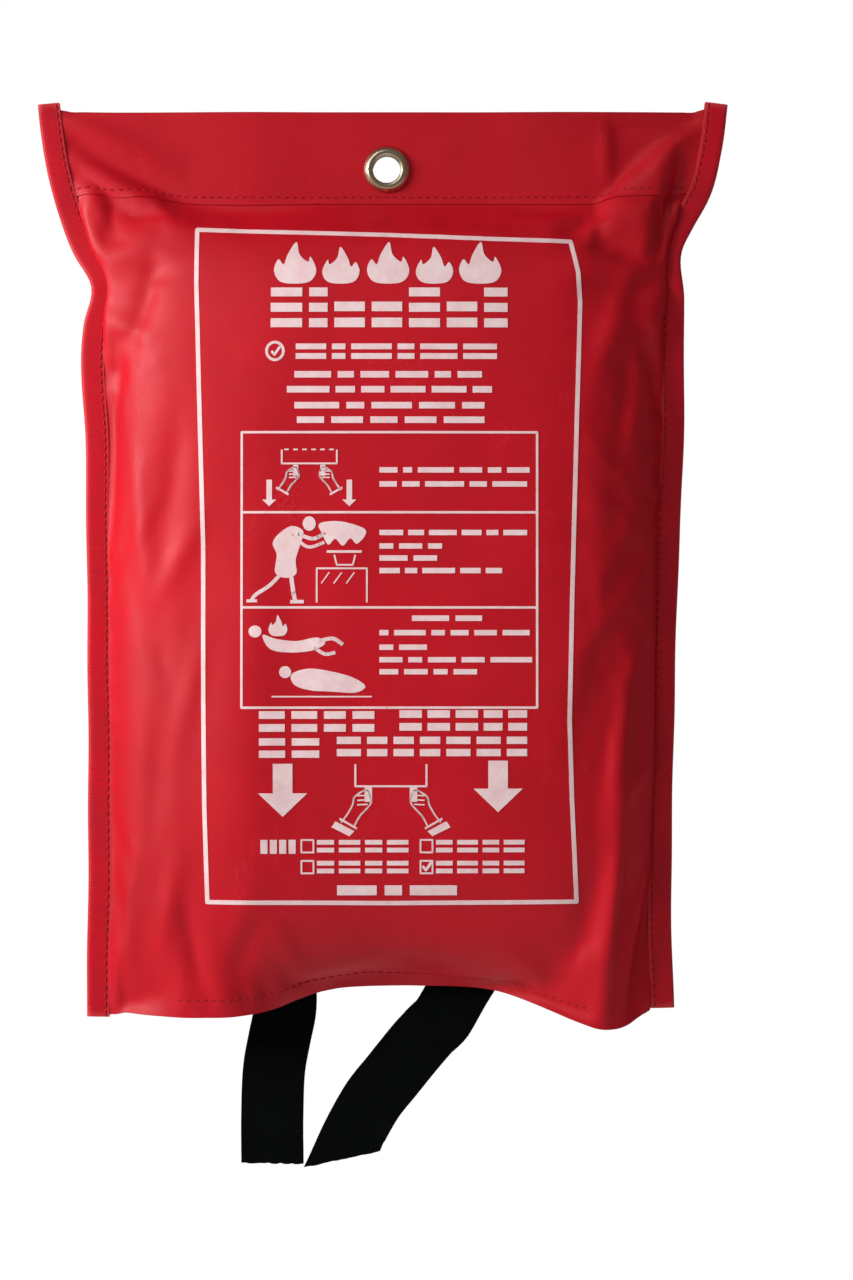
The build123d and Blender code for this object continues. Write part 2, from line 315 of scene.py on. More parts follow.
def held_points(s, t, front, back, points):
    """Where the held points end up: both seams, the header round the grommet and the mouth."""
    target = points.copy()
    held = np.zeros(len(points), bool)
    between = abs(s) < SEWN_EDGE
    sides = ((-1, LEFT_OUTLINE, LEFT_END), (1, RIGHT_OUTLINE, RIGHT_END))
    for side, outline, seam_end in sides:
        mask = ~between & (np.sign(s) == side)
        px, py, pz = seam_target(side, outline, s[mask], t[mask], seam_end + 1 * MM)
        target[front[mask]] = np.stack([px, py, pz], -1)
        held[front[mask]] = True

    top = t > HEADER_TOP - 0.5 * PITCH
    stiff = between & (t >= HEADER_LINE - 0.5 * PITCH) & ((abs(s) < 84 * MM) | top)
    wave = 0.9 * MM * np.sin(s / (19 * MM) + 0.8) * smoothstep(18 * MM, 60 * MM, abs(s))
    target[front[stiff]] = np.stack([s[stiff], wave[stiff], t[stiff]], -1)
    held[front[stiff]] = True
    x_left = target[front[top & ~between & (np.sign(s) == -1)], 0].max()
    x_right = target[front[top & ~between & (np.sign(s) == 1)], 0].min()
    spread = x_left + (x_right - x_left) * (s + SEWN_EDGE) / (2 * SEWN_EDGE)
    x_header = s + (spread - s) * smoothstep(9 * MM, HEADER_TOP, t)
    target[front[stiff], 0] = x_header[stiff]

    hem = between & (t < HEM + 0.5 * PITCH)
    share = (s[hem] + SEWN_EDGE) / (2 * SEWN_EDGE)
    for numbers, line in ((back, BACK_HEM), (front, FRONT_HEM)):
        target[numbers[hem]] = smooth_line(line, share)
        held[numbers[hem]] = True
    return target, held


def bag_faces(front, back):
    """Faces of both panels, once where they are sewn into one."""
    faces = []
    for i in range(COLS):
        for j in range(ROWS):
            f = (front[i, j], front[i, j + 1], front[i + 1, j + 1], front[i + 1, j])
            b = (back[i, j], back[i + 1, j], back[i + 1, j + 1], back[i, j + 1])
            faces.append(f)
            if set(f) != set(b):
                faces.append(b)
    return faces


def make_solid(obj):
    """Let the cloth collide with an object."""
    obj.modifiers.new("collision", "COLLISION")
    obj.collision.thickness_outer = 0.004


def make_soft(bag):
    """Cloth settings for the bag at the scale of the simulation."""
    cloth = bag.modifiers.new("cloth", "CLOTH")
    cs = cloth.settings
    cs.quality = 7
    cs.mass = 0.05
    cs.tension_stiffness = cs.compression_stiffness = 60
    cs.shear_stiffness = 30
    cs.bending_stiffness = 1.5
    cs.tension_damping = cs.compression_damping = cs.shear_damping = 8
    cs.bending_damping = 1
    cs.air_damping = 3
    cs.vertex_group_mass = "held"
    cs.effector_weights.gravity = 0.15
    cloth.collision_settings.collision_quality = 3
    cloth.collision_settings.distance_min = 0.006
    cloth.collision_settings.use_self_collision = False
    cloth.point_cache.frame_end = SIM_FRAMES


def simulate(bag):
    """Play the filling and return the bag's points, back at their real size."""
    scene = bpy.context.scene
    scene.frame_start, scene.frame_end = 1, SIM_FRAMES
    for f in range(1, SIM_FRAMES + 1):
        scene.frame_set(f)
    result = bag.evaluated_get(bpy.context.evaluated_depsgraph_get()).to_mesh()
    co = np.empty(len(result.vertices) * 3)
    result.vertices.foreach_get("co", co)
    return co.reshape(-1, 3) / SIM_SCALE


def clear_away(objects):
    """Remove the objects of the simulation with their meshes and keys."""
    for obj in objects:
        mesh = obj.data
        bpy.data.objects.remove(obj)
        bpy.data.meshes.remove(mesh)
    for action in list(bpy.data.actions):
        bpy.data.actions.remove(action)
    bpy.context.scene.frame_set(1)


def fill_pouch():
    """Sew both panels flat, fill them with the pack and return the two cloth grids."""
    s, t = flat_grid()
    front, back, points = sew_flat(s, t)
    target, held = held_points(s, t, front, back, points)
    bag = new_object("bag_sim", points * SIM_SCALE, bag_faces(front, back))
    group = bag.vertex_groups.new(name="held")
    group.add([int(i) for i in np.nonzero(held)[0]], 1.0, "REPLACE")
    grow(bag, target)

    full, thin, pack_faces = pack_former()
    pack = new_object("pack_sim", thin * SIM_SCALE, pack_faces)
    face_outward(pack)
    grow(pack, full)
    make_solid(pack)
    pack.collision.cloth_friction = 0.5
    pack.collision.damping = 0.9

    y, w = 11 * MM * SIM_SCALE, 0.3 * SIM_SCALE
    corners = [(-w, y, -2 * w), (w, y, -2 * w), (w, y, w), (-w, y, w)]
    wall = new_object("wall_sim", corners, [(0, 1, 2, 3)])
    make_solid(wall)
    make_soft(bag)
    filled = simulate(bag)
    clear_away((bag, pack, wall))
    return filled[front], filled[back]


def relax(grid, rounds, weight):
    """Even out solver noise inside a grid, leaving its rim."""
    for _ in range(rounds):
        mean = (grid[:-2, 1:-1] + grid[2:, 1:-1] + grid[1:-1, :-2] + grid[1:-1, 2:]) / 4
        grid[1:-1, 1:-1] += weight * (mean - grid[1:-1, 1:-1])
    return grid


def refine(grid, times):
    """Catmull-Rom points between the points of a grid, along both of its directions."""
    for axis in (0, 1):
        if grid.shape[axis] == 1:
            continue
        g = np.moveaxis(grid, axis, 0)
        pad = np.concatenate([2 * g[:1] - g[1:2], g, 2 * g[-1:] - g[-2:-1]])
        parts = []
        for k in range(times):
            u = k / times
            parts.append(0.5 * (
                2 * pad[1:-2] + (pad[2:-1] - pad[:-3]) * u
                + (2 * pad[:-3] - 5 * pad[1:-2] + 4 * pad[2:-1] - pad[3:]) * u**2
                + (3 * pad[1:-2] - pad[:-3] - 3 * pad[2:-1] + pad[3:]) * u**3))
        out = np.stack(parts, 1).reshape((-1,) + g.shape[1:])
        grid = np.moveaxis(np.concatenate([out, g[-1:]]), 0, axis)
    return grid


def grid_normals(grid):
    """Unit normals, towards -Y for a grid seen from the front."""
    du = np.gradient(grid, axis=0)
    dv = np.gradient(grid, axis=1)
    return unit(np.cross(dv, du))


def crease(s, t, at, length, width, turn, height):
    """A raised or sunk fold line, rounded off at both ends."""
    a = math.radians(turn)
    ds, dt = s - at[0] * MM, t - at[1] * MM
    along = ds * math.cos(a) + dt * math.sin(a)
    across = -ds * math.sin(a) + dt * math.cos(a)
    return height * MM * np.exp(-(along / (length * MM)) ** 2 - (across / (width * MM)) ** 2)


FRONT_FOLDS = [
    # at (across, height), length, width, direction, height, all in millimetres and degrees
    ((-104, -60), 24, 5, 70, -1.6),
    ((-92, -134), 26, 7, 82, -1.5),
    ((-106, -150), 30, 5, 95, 1.2),
    ((-88, -162), 16, 5, 60, 1.0),
    ((-99, -196), 20, 6, 110, -1.3),
    ((-84, -214), 22, 5, 75, 0.9),
    ((-100, -250), 26, 6, 85, -1.2),
    ((-96, -300), 20, 5, 75, 1.4),
    ((-86, -318), 16, 4, 100, -1.2),
    ((98, -70), 30, 5, 72, 1.2),
    ((104, -96), 26, 4, 82, -1.0),
    ((92, -150), 34, 7, 96, 0.8),
    ((100, -245), 44, 5, 78, 1.0),
    ((90, -290), 26, 6, 72, -0.9),
    ((84, -322), 14, 7, 20, 1.6),
    ((64, -326), 12, 6, 150, 1.1),
    ((-40, -322), 16, 5, 120, 0.8),
    ((-62, -316), 14, 5, 60, -0.9),
    ((30, -305), 40, 9, 3, -0.9),
    ((-6, -230), 60, 26, 92, 0.5),
    ((46, -110), 50, 22, 80, -0.5),
    ((-52, -90), 40, 18, 75, 0.45),
    ((-59, -246), 70, 17, 87, 2.6),
    ((-62, -306), 14, 9, 70, 0.8),
]


def make_shell(name, grid, normals, outer, inner, keep=None):
    """Closed sheet of cloth: an outer and an inner skin joined round every edge."""
    cols, rows = grid.shape[:2]
    verts = np.concatenate([(grid + normals * d).reshape(-1, 3) for d in (outer, inner)])
    n = cols * rows
    keep = np.ones((cols - 1, rows - 1), bool) if keep is None else keep
    faces, edges = [], {}
    for i, j in zip(*np.nonzero(keep)):
        a, b = i * rows + j, i * rows + j + 1
        d, c = (i + 1) * rows + j, (i + 1) * rows + j + 1
        faces.append((a, b, c, d))
        faces.append((a + n, d + n, c + n, b + n))
        for e in ((a, b), (b, c), (c, d), (d, a)):
            edges[e] = True
    for a, b in edges:
        if (b, a) not in edges:
            faces.append((b, a, a + n, b + n))
    used = np.zeros(2 * n, bool)
    used[np.unique(np.array(faces))] = True
    renumber = np.cumsum(used) - 1
    obj = new_object(name, verts[used], renumber[np.array(faces)].tolist())
    flat = np.empty(len(faces) * 3)
    obj.data.polygons.foreach_get("normal", flat)
    flat = np.repeat(flat.reshape(-1, 3), 4, axis=0)
    corner = np.array(faces).ravel()
    skin = normals.reshape(-1, 3)[corner % n] * np.where(corner < n, 1.0, -1.0)[:, None]
    wall = np.repeat(np.arange(len(faces)) >= 2 * int(keep.sum()), 4)
    obj.data.normals_split_custom_set(np.where(wall[:, None], flat, skin).tolist())
    return obj


class Cloth:
    """A refined cloth grid with its flat coordinates, read anywhere by flat position."""

    def __init__(self, points, s, t):
        self.points, self.s, self.t = points, s, t
        self.normals = grid_normals(points)

    def at(self, s, t):
        """Points and normals at flat positions."""
        u = np.clip((s + HALF_WIDTH) / (2 * HALF_WIDTH), 0, 1) * (self.s.shape[0] - 1)
        v = np.clip((HEADER_TOP - t) / (HEADER_TOP - HEM), 0, 1) * (self.s.shape[1] - 1)
        i = np.minimum(u.astype(int), self.s.shape[0] - 2)
        j = np.minimum(v.astype(int), self.s.shape[1] - 2)
        where = i, j, (u - i)[..., None], (v - j)[..., None]
        return bilinear(self.points, *where), unit(bilinear(self.normals, *where))


def make_cloths():
    """Both panels of the filled pouch, evened out, refined and given their small folds."""
    front, back = fill_pouch()
    s, t = flat_grid()
    front, back = relax(front, 2, 0.35), relax(back, 2, 0.35)
    printed = smoothstep(92 * MM, 60 * MM, abs(s + 4 * MM)) * smoothstep(-30 * MM, -60 * MM, t)
    printed = printed * smoothstep(HEM + 6 * MM, HEM + 34 * MM, t)
    front = relax(front, 24, 0.5 * printed[1:-1, 1:-1, None])
    front, back = refine(front, FINER), refine(back, FINER)
    s, t = refine(s[..., None], FINER)[..., 0], refine(t[..., None], FINER)[..., 0]
    folds = sum(crease(s, t, *f) for f in FRONT_FOLDS)
    inside = smoothstep(HALF_WIDTH - FLANGE, HALF_WIDTH - FLANGE - 14 * MM, abs(s))
    inside = inside * smoothstep(HEADER_LINE, HEADER_LINE - 12 * MM, t)
    folds = folds * inside
    front = front + grid_normals(front) * folds[..., None]
    back_folds = np.sin(s / (21 * MM) + 1.3 * np.sin(t / (60 * MM))) * np.sin(t / (47 * MM) + 0.6)
    back = back - grid_normals(back) * (0.42 * MM * back_folds * inside)[..., None]
    mouth = smoothstep(-74 * MM, -58 * MM, s) * smoothstep(64 * MM, 46 * MM, s)
    mouth = mouth * smoothstep(HEM + 44 * MM, HEM + 24 * MM, t)
    back[..., 1] += MOUTH_GAP * mouth
    left = np.exp(-((s + 43 * MM) / (17 * MM)) ** 4)
    right = np.exp(-((s - 33 * MM) / (19 * MM)) ** 4)
    tapes = np.maximum(left, right)
    least = (TAPE_PLANE + 1.6 * MM) * tapes * smoothstep(HEM + 34 * MM, HEM + 24 * MM, t)
    back[..., 1] = np.maximum(back[..., 1], least - (1 - tapes) * 20 * MM)
    return Cloth(front, s, t), Cloth(back, s, t)


# ---- materials -----------------------------------------------------------------
GLOSS = 0.48                   # lowest roughness of the coated fabric


class Tree:
    """Short names for making shader nodes."""

    def __init__(self, name):
        self.material = bpy.data.materials.new(name)
        self.material.use_nodes = True
        self.tree = self.material.node_tree
        self.shader = self.tree.nodes["Principled BSDF"]
        self.place = self.tree.nodes.new("ShaderNodeTexCoord").outputs["Object"]

    def put(self, socket, value):
        """Link a socket to another, or give it a value."""
        if isinstance(value, bpy.types.NodeSocket):
            self.tree.links.new(value, socket)
        else:
            socket.default_value = value

    def set(self, **inputs):
        """Values or links for the shader's sockets, with _ for a space in a name."""
        for name, value in inputs.items():
            self.put(self.shader.inputs[name.replace("_", " ")], value)

    def node(self, kind, inputs, output=0, **options):
        """Output of a new node, whose inputs are given by name or by number."""
        n = self.tree.nodes.new(kind)
        for key, value in options.items():
            setattr(n, key, value)
        for key, value in inputs.items():
            self.put(n.inputs[key], value)
        return n.outputs[output]

    def turned(self, angle, source=None):
        """Coordinates turned about Y by an angle in degrees."""
        turn = (0, math.radians(angle), 0)
        return self.node("ShaderNodeMapping", {"Vector": source or self.place, "Rotation": turn})

    def noise(self, scale, detail=3.0, roughness=0.5, tall=1.0):
        """Cloudy noise, drawn out along Z when tall is below 1."""
        where = self.place
        if tall != 1.0:
            where = self.node("ShaderNodeMapping", {"Vector": where, "Scale": (1, 1, tall)})
        inputs = {"Vector": where, "Scale": scale, "Detail": detail, "Roughness": roughness}
        return self.node("ShaderNodeTexNoise", inputs)

    def ribs(self, pitch, direction, source=None):
        """Even ribs of one pitch across a direction, as a height from 0 to 1."""
        inputs = {"Vector": source or self.place, "Scale": math.pi / (10 * pitch), "Detail": 1.0}
        return self.node("ShaderNodeTexWave", inputs, 1, wave_type="BANDS", wave_profile="SIN",
                         bands_direction=direction)

    def math(self, operation, a, b=0.0):
        return self.node("ShaderNodeMath", {0: a, 1: b}, operation=operation)

    def span(self, value, low, high, to_low=0.0, to_high=1.0):
        """A value carried from one range to another, held at its ends."""
        return self.node("ShaderNodeMapRange", {0: value, 1: low, 2: high, 3: to_low, 4: to_high})

    def mix(self, factor, a, b):
        """Blend of two colours, each a link or three numbers."""
        a, b = ((*c, 1.0) if isinstance(c, tuple) else c for c in (a, b))
        return self.node("ShaderNodeMix", {0: factor, 6: a, 7: b}, 2, data_type="RGBA")

    def bump(self, height, distance, strength=1.0, over=None):
        """Relief from a height, with its depth in millimetres, over another relief or none."""
        inputs = {"Strength": strength, "Distance": distance * MM, "Height": height}
        if over is not None:
            inputs["Normal"] = over
        return self.node("ShaderNodeBump", inputs)

    def pointiness(self):
        """How far the surface stands out: above 0.5 on ridges."""
        return self.node("ShaderNodeNewGeometry", {}, 7)


def plain_weave(m, pitch):
    """Over-and-under threads of one pitch, as a height from 0 to 1."""
    warp = m.ribs(pitch, "X")
    weft = m.ribs(pitch, "Z")
    fine = m.math("MULTIPLY", warp, weft)
    other = m.math("MULTIPLY", m.math("SUBTRACT", 1.0, warp), m.math("SUBTRACT", 1.0, weft))
    return m.math("MAXIMUM", fine, other)


def coated_fabric():
    """PVC-coated polyester: the scrim shows faintly through a satin red skin."""
    m = Tree("red_coated_fabric")
    base, dark, light = (0.56, 0.0015, 0.012), (0.46, 0.0008, 0.008), (0.80, 0.05, 0.07)
    weave = plain_weave(m, 0.85 * MM)
    cloud = m.noise(14, 4, 0.6)
    grime = m.noise(55, 5, 0.65, 0.5)
    speck = m.noise(900, 2, 0.5)
    colour = m.mix(m.span(cloud, 0.35, 0.68), base, dark)
    colour = m.mix(m.span(grime, 0.55, 0.8, 0, 0.35), colour, dark)
    rubbed = m.math("MULTIPLY", m.span(grime, 0.30, 0.42, 0.22, 0.0), m.span(speck, 0.45, 0.6))
    colour = m.mix(rubbed, colour, light)
    colour = m.mix(m.span(weave, 0.0, 1.0, 0.10, 0.0), colour, dark)
    rough = m.span(grime, 0.3, 0.75, GLOSS, GLOSS + 0.14)
    rough = m.math("ADD", rough, m.span(speck, 0.4, 0.7, -0.02, 0.05))
    low = m.bump(m.noise(70, 3, 0.55), 0.5, 0.22)
    m.set(Base_Color=colour, Roughness=rough, Normal=m.bump(weave, 0.06, 0.35, low))
    m.set(Specular_IOR_Level=0.26, Coat_Weight=0.02, Coat_Roughness=0.25)
    return m.material


def binding_material():
    """Grosgrain-like coated tape: cross ribs close together, and a painted highlight that turns its
    ridges and rolled edges a lighter red.
    """
    m = Tree("red_binding_tape")
    ribs = m.ribs(0.9 * MM, "Z")
    cloud = m.noise(40, 4, 0.6)
    colour = m.mix(m.span(cloud, 0.35, 0.7), (0.58, 0.004, 0.016), (0.46, 0.002, 0.011))
    colour = m.mix(m.span(ribs, 0.0, 0.5, 0.18, 0.0), colour, (0.30, 0.001, 0.006))
    # painted highlight: the tape's ridges and rolled edges are mixed towards a light red
    colour = m.mix(m.span(m.pointiness(), 0.53, 0.62, 0, 0.55), colour, (0.80, 0.09, 0.10))
    low = m.bump(m.noise(300, 2, 0.5), 0.2, 0.3)
    m.set(Base_Color=colour, Roughness=m.span(cloud, 0.3, 0.7, 0.38, 0.55))
    m.set(Normal=m.bump(ribs, 0.12, 0.5, low), Specular_IOR_Level=0.24)
    return m.material


def brass_material():
    """Aged brass plating: dull in the hollows, scuffed bright on the crown."""
    m = Tree("aged_brass")
    patch = m.noise(220, 4, 0.6)
    fine = m.noise(1400, 3, 0.6)
    colour = m.mix(m.span(patch, 0.38, 0.66), (0.62, 0.50, 0.36), (0.38, 0.27, 0.15))
    colour = m.mix(m.span(m.pointiness(), 0.51, 0.60), colour, (0.80, 0.68, 0.56))
    rough = m.math("ADD", m.span(patch, 0.35, 0.7, 0.20, 0.40), m.span(fine, 0.4, 0.7, 0.0, 0.06))
    m.set(Base_Color=colour, Metallic=1.0, Roughness=rough, Normal=m.bump(fine, 0.05, 0.25))
    return m.material


def webbing_material(name, turn):
    """Near-black cotton-polyester pull tape: twill ribs along its own direction."""
    m = Tree(name)
    place = m.turned(turn)
    twill = m.ribs(0.75 * MM, "X", m.turned(45, place))
    weave = m.math("MULTIPLY", m.ribs(1.15 * MM, "Z", place), twill)
    fuzz = m.noise(1600, 3, 0.6)
    cloud = m.noise(60, 3, 0.55)
    colour = m.mix(m.span(weave, 0.1, 0.8), (0.0003, 0.0006, 0.0006), (0.0014, 0.0026, 0.0027))
    colour = m.mix(m.span(cloud, 0.4, 0.75, 0, 0.45), colour, (0.0024, 0.0040, 0.0042))
    colour = m.mix(m.span(fuzz, 0.58, 0.75, 0, 0.3), colour, (0.007, 0.010, 0.0105))
    m.set(Base_Color=colour, Roughness=m.span(weave, 0.0, 1.0, 0.92, 0.74))
    m.set(Normal=m.bump(weave, 0.28, 0.7, m.bump(fuzz, 0.1, 0.3)), Specular_IOR_Level=0.07)
    return m.material


def glass_cloth_material():
    """Woven glass fibre: off-white satin weave with a dry silky sheen."""
    m = Tree("woven_glass_cloth")
    weave = plain_weave(m, 1.0 * MM)
    twill = m.ribs(1.4 * MM, "X", m.turned(45))
    cloud = m.noise(30, 4, 0.6)
    colour = m.mix(m.span(cloud, 0.35, 0.7), (0.74, 0.73, 0.68), (0.64, 0.62, 0.56))
    colour = m.mix(m.span(weave, 0, 0.7, 0.35, 0.0), colour, (0.48, 0.46, 0.41))
    m.set(Base_Color=colour, Roughness=m.span(twill, 0, 1, 0.50, 0.66))
    m.set(Normal=m.bump(weave, 0.2, 0.5, m.bump(twill, 0.1, 0.4)))
    m.set(Sheen_Weight=0.3, Sheen_Roughness=0.35)
    return m.material


def fastener_material(name, base, dark, scale):
    """Hook or loop face: a dense field of small tufts."""
    m = Tree(name)
    tufts = m.node("ShaderNodeTexVoronoi", {"Vector": m.place, "Scale": scale})
    fuzz = m.noise(2200, 3, 0.6)
    colour = m.mix(m.span(tufts, 0.0, 0.6), base, dark)
    colour = m.mix(m.span(fuzz, 0.5, 0.75, 0, 0.4), colour, base)
    m.set(Base_Color=colour, Roughness=0.85, Sheen_Weight=0.4, Sheen_Roughness=0.5)
    m.set(Normal=m.bump(tufts, -0.5, 0.8, m.bump(fuzz, 0.2, 0.5)))
    return m.material


def thread_material():
    """Bonded polyester thread, twisted, in the pouch's red."""
    m = Tree("red_thread")
    twist = m.noise(2600, 2, 0.5, 0.4)
    colour = m.mix(m.span(twist, 0.35, 0.65), (0.50, 0.008, 0.02), (0.34, 0.003, 0.012))
    m.set(Base_Color=colour, Roughness=m.span(twist, 0.3, 0.7, 0.4, 0.6))
    m.set(Normal=m.bump(twist, 0.1, 0.5), Specular_IOR_Level=0.2)
    return m.material


def ink_material():
    """Screen-printed pale ink, thin enough to pick up a little of the red."""
    m = Tree("pale_print")
    thin = m.noise(160, 4, 0.7)
    grain = m.noise(1500, 3, 0.6)
    colour = m.mix(m.span(thin, 0.35, 0.75), (0.90, 0.70, 0.70), (0.84, 0.52, 0.54))
    colour = m.mix(m.span(grain, 0.55, 0.75, 0, 0.4), colour, (0.80, 0.38, 0.40))
    m.set(Base_Color=colour, Roughness=m.span(grain, 0.3, 0.7, 0.45, 0.6))
    m.set(Normal=m.bump(grain, 0.04, 0.3))
    return m.material


def make_materials():
    """Every material by its short name."""
    return {
        "fabric": coated_fabric(),
        "binding": binding_material(),
        "brass": brass_material(),
        "left_webbing": webbing_material("black_webbing", 0),
        "right_webbing": webbing_material("black_webbing_slanted", -37),
        "glass": glass_cloth_material(),
        "loop_strip": fastener_material("loop_pile", (0.05, 0.05, 0.052), (0.012, 0.012, 0.013), 900),
        "hook_strip": fastener_material("hook_field", (0.04, 0.04, 0.042), (0.008, 0.008, 0.009), 600),
        "thread": thread_material(),
        "ink": ink_material(),
    }


# ---- the pouch ---------------------------------------------------------------
LIP_HALF = 97 * MM             # half width of the flap that gives way when the blanket is pulled
LIP_LINE = -299 * MM           # its upper edge, under the printed frame
FACING = 0.27 * MM             # half the thickness of the folded-over header cloth
THREAD_LEVEL = 0.58 * MM       # middle of a stitch, from the simulated surface
HOLE_R = 7.2 * MM              # hole in the cloth under the grommet
TAPE_HALF = 0.24 * MM          # half the thickness of the binding tape
STITCH_PITCH = 3.3 * MM
STITCH = (1.25 * MM, 0.34 * MM, 0.26 * MM)   # half length, half width, half height


def lip_mask(front):
    """Cells of the front panel that belong to the flap."""
    level = front.points[..., 2].mean(axis=0, where=abs(front.s) < LIP_HALF)
    first = int(np.argmin(abs(level - LIP_LINE)))
    mask = abs(cells(front.s)) < LIP_HALF
    mask[:, :first] = False
    return mask


def give_way(obj):
    """Give a piece its own copy of its mesh."""
    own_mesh(obj)


def build_panels(front, back, mats):
    """Front panel, its flap and the back panel, each a closed shell of cloth."""
    solid = np.hypot(cells(front.s), cells(front.t)) > HOLE_R
    lip = lip_mask(front)
    skins = SKIN, SKIN - CLOTH

    panel = make_shell("front_panel_cloth", front.points, front.normals, *skins, solid & ~lip)
    finish_piece(panel, "pouch", mats["fabric"], "front_panel")

    flap = make_shell("front_lip_cloth", front.points, front.normals, *skins, lip)
    finish_piece(flap, "pouch", mats["fabric"], "front_lip")
    give_way(flap)

    rear = make_shell("back_panel_cloth", back.points, back.normals, CLOTH - SKIN, -SKIN, solid)
    finish_piece(rear, "pouch", mats["fabric"], "back_panel")


def build_header_facing(front, mats):
    """The top hem: the cloth goes over the edge and down the front to its raw line."""
    off = FACING + THREAD_LEVEL
    rows = [(HEADER_TOP - d * MM, -off, 0.0) for d in (7, 5, 3, 1.2)]
    for k in range(1, 8):
        a = math.pi * k / 8
        rows.append((HEADER_TOP, -off * math.cos(a), off * math.sin(a)))
    down = np.arange(1.2 * MM, HEADER_TOP - HEADER_LINE, 2 * MM)
    rows += [(HEADER_TOP - d, off, 0.0) for d in down]
    rows.append((HEADER_LINE, off, 0.0))
    s = front.s[:, 0]
    s = s[abs(s) < HALF_WIDTH - 1 * MM]
    grid = []
    for t, off, rise in rows:
        p, n = front.at(s, np.full_like(s, t))
        grid.append(p + n * off + np.array([0, 0, rise]))
    grid = np.stack(grid, 1)
    t = np.array([row[0] for row in rows])
    keep = np.hypot(((s[:-1] + s[1:]) / 2)[:, None], (t[:-1] + t[1:]) / 2) > HOLE_R
    facing = make_shell("header_facing_cloth", grid, grid_normals(grid), FACING, -FACING, keep)
    finish_piece(facing, "pouch", mats["fabric"], "header_facing")


# the folded tape in section: distance in from the cloth's edge, and off the seam's plane
BINDING_FRONT = [(8.0, -0.92), (6.6, -1.02), (5.0, -1.06), (3.2, -1.08), (1.4, -1.10), (0.1, -1.05),
                 (-0.6, -0.74)]
BINDING_SECTION = BINDING_FRONT + [(-0.85, 0.0)] + [(u, -v) for u, v in BINDING_FRONT[::-1]]


def binding_grid(side, outline, bottom):
    """Middle surface of the tape folded round one side edge, from the front's inner edge."""
    run = np.arange(401) * 1.0 * MM
    edge = np.full_like(run, side * HALF_WIDTH)
    heights = seam_target(side, outline, edge, BINDING_TOP - run)[2]
    start = float(np.interp(-BINDING_TOP, -heights, run))
    stop = float(np.interp(-bottom, -heights, run))
    t = BINDING_TOP - np.linspace(start, stop, round((stop - start) / (2.5 * MM)) + 1)
    grid = []
    for inset, off in BINDING_SECTION:
        s = np.full_like(t, side * (HALF_WIDTH - inset * MM))
        x, y, z = seam_target(side, outline, s, t)
        wander = 0.28 * MM * np.sin(t / (31 * MM) + inset * 0.1 + side)
        wander += 0.16 * MM * np.sin(t / (9 * MM) + side)
        over = 0.6 * MM * smoothstep(HEADER_LINE - 4 * MM, HEADER_LINE, z) * (1 if off < 0 else 0.35)
        y = y + off * MM + np.sign(off) * over + 0.5 * wander
        grid.append(np.stack([x + wander * side, y, z], -1))
    return np.stack(grid[::side])


def build_bindings(mats):
    """Both bindings; returns their middle surfaces for the stitches."""
    grids = []
    sides = ((-1, LEFT_OUTLINE, "left", LEFT_END), (1, RIGHT_OUTLINE, "right", RIGHT_END))
    for side, outline, word, bottom in sides:
        grid = binding_grid(side, outline, bottom)
        grids.append((side, grid))
        normals = grid_normals(grid)
        tape = make_shell(word + "_edge_tape_binding", grid, normals, TAPE_HALF, -TAPE_HALF)
        finish_piece(tape, "pouch", mats["binding"], word + "_edge_binding")
    return grids


# ---- stitches -------------------------------------------------------------------
def stitch_form():
    """One stitch: a rounded rod along X, on Z."""
    around, along = 6, 5
    ring = [(math.cos(a), math.sin(a)) for a in np.linspace(0, 2 * math.pi, around, endpoint=False)]
    verts = [(-1.0, 0.0, 0.0)]
    for k in range(along):
        u = -0.86 + 1.72 * k / (along - 1)
        r = (1 - abs(u) ** 3.2) ** 0.5
        verts += [(u, c * r, h * r) for c, h in ring]
    verts.append((1.0, 0.0, 0.0))
    faces = [(0, 1 + (a + 1) % around, 1 + a) for a in range(around)]
    for k in range(along - 1):
        for a in range(around):
            p, q = 1 + k * around + a, 1 + k * around + (a + 1) % around
            faces.append((p, q, q + around, p + around))
    last = 1 + along * around
    faces += [(last, last - around + a, last - around + (a + 1) % around) for a in range(around)]
    return np.array(verts), faces


def stitch_line(points, normals, lift):
    """Places, directions and normals of even stitches along a surface line."""
    run = run_length(points)
    count = max(int(run[-1] / STITCH_PITCH), 1)
    at = (np.arange(count) + 0.5) * run[-1] / count

    def read(values, where):
        return np.stack([np.interp(where, run, values[:, k]) for k in range(3)], -1)
    centre = read(points, at)
    way = unit(read(points, at + 0.4 * STITCH_PITCH) - read(points, at - 0.4 * STITCH_PITCH))
    normal = unit(read(normals, at))
    return centre + normal * lift, way, normal


def stitch_mesh(name, rows):
    """All stitches of some rows in one mesh, each a little longer or more slanted."""
    form, form_faces = stitch_form()
    rng = random.Random(name)
    verts, faces = [], []
    for row in rows:
        for c, d, n in zip(*row):
            n = unit(n - d * np.dot(n, d))
            across = np.cross(n, d)
            lean = rng.uniform(-0.09, 0.09)
            way = d * math.cos(lean) + across * math.sin(lean)
            across = across * math.cos(lean) - d * math.sin(lean)
            axes = np.array([STITCH[0] * rng.uniform(0.93, 1.05) * way,
                             STITCH[1] * across, STITCH[2] * n])
            base = len(verts) * len(form)
            verts.append(c + form @ axes)
            faces += [tuple(base + v for v in f) for f in form_faces]
    return new_object(name, np.concatenate(verts), faces)


def stitch_row(cloth, s, t, lift=THREAD_LEVEL, side=1):
    """Stitches along a line of flat positions: side is 1 on the front, -1 on the back."""
    points, normals = cloth.at(s, t + 0 * s)
    return stitch_line(points, side * normals, lift)


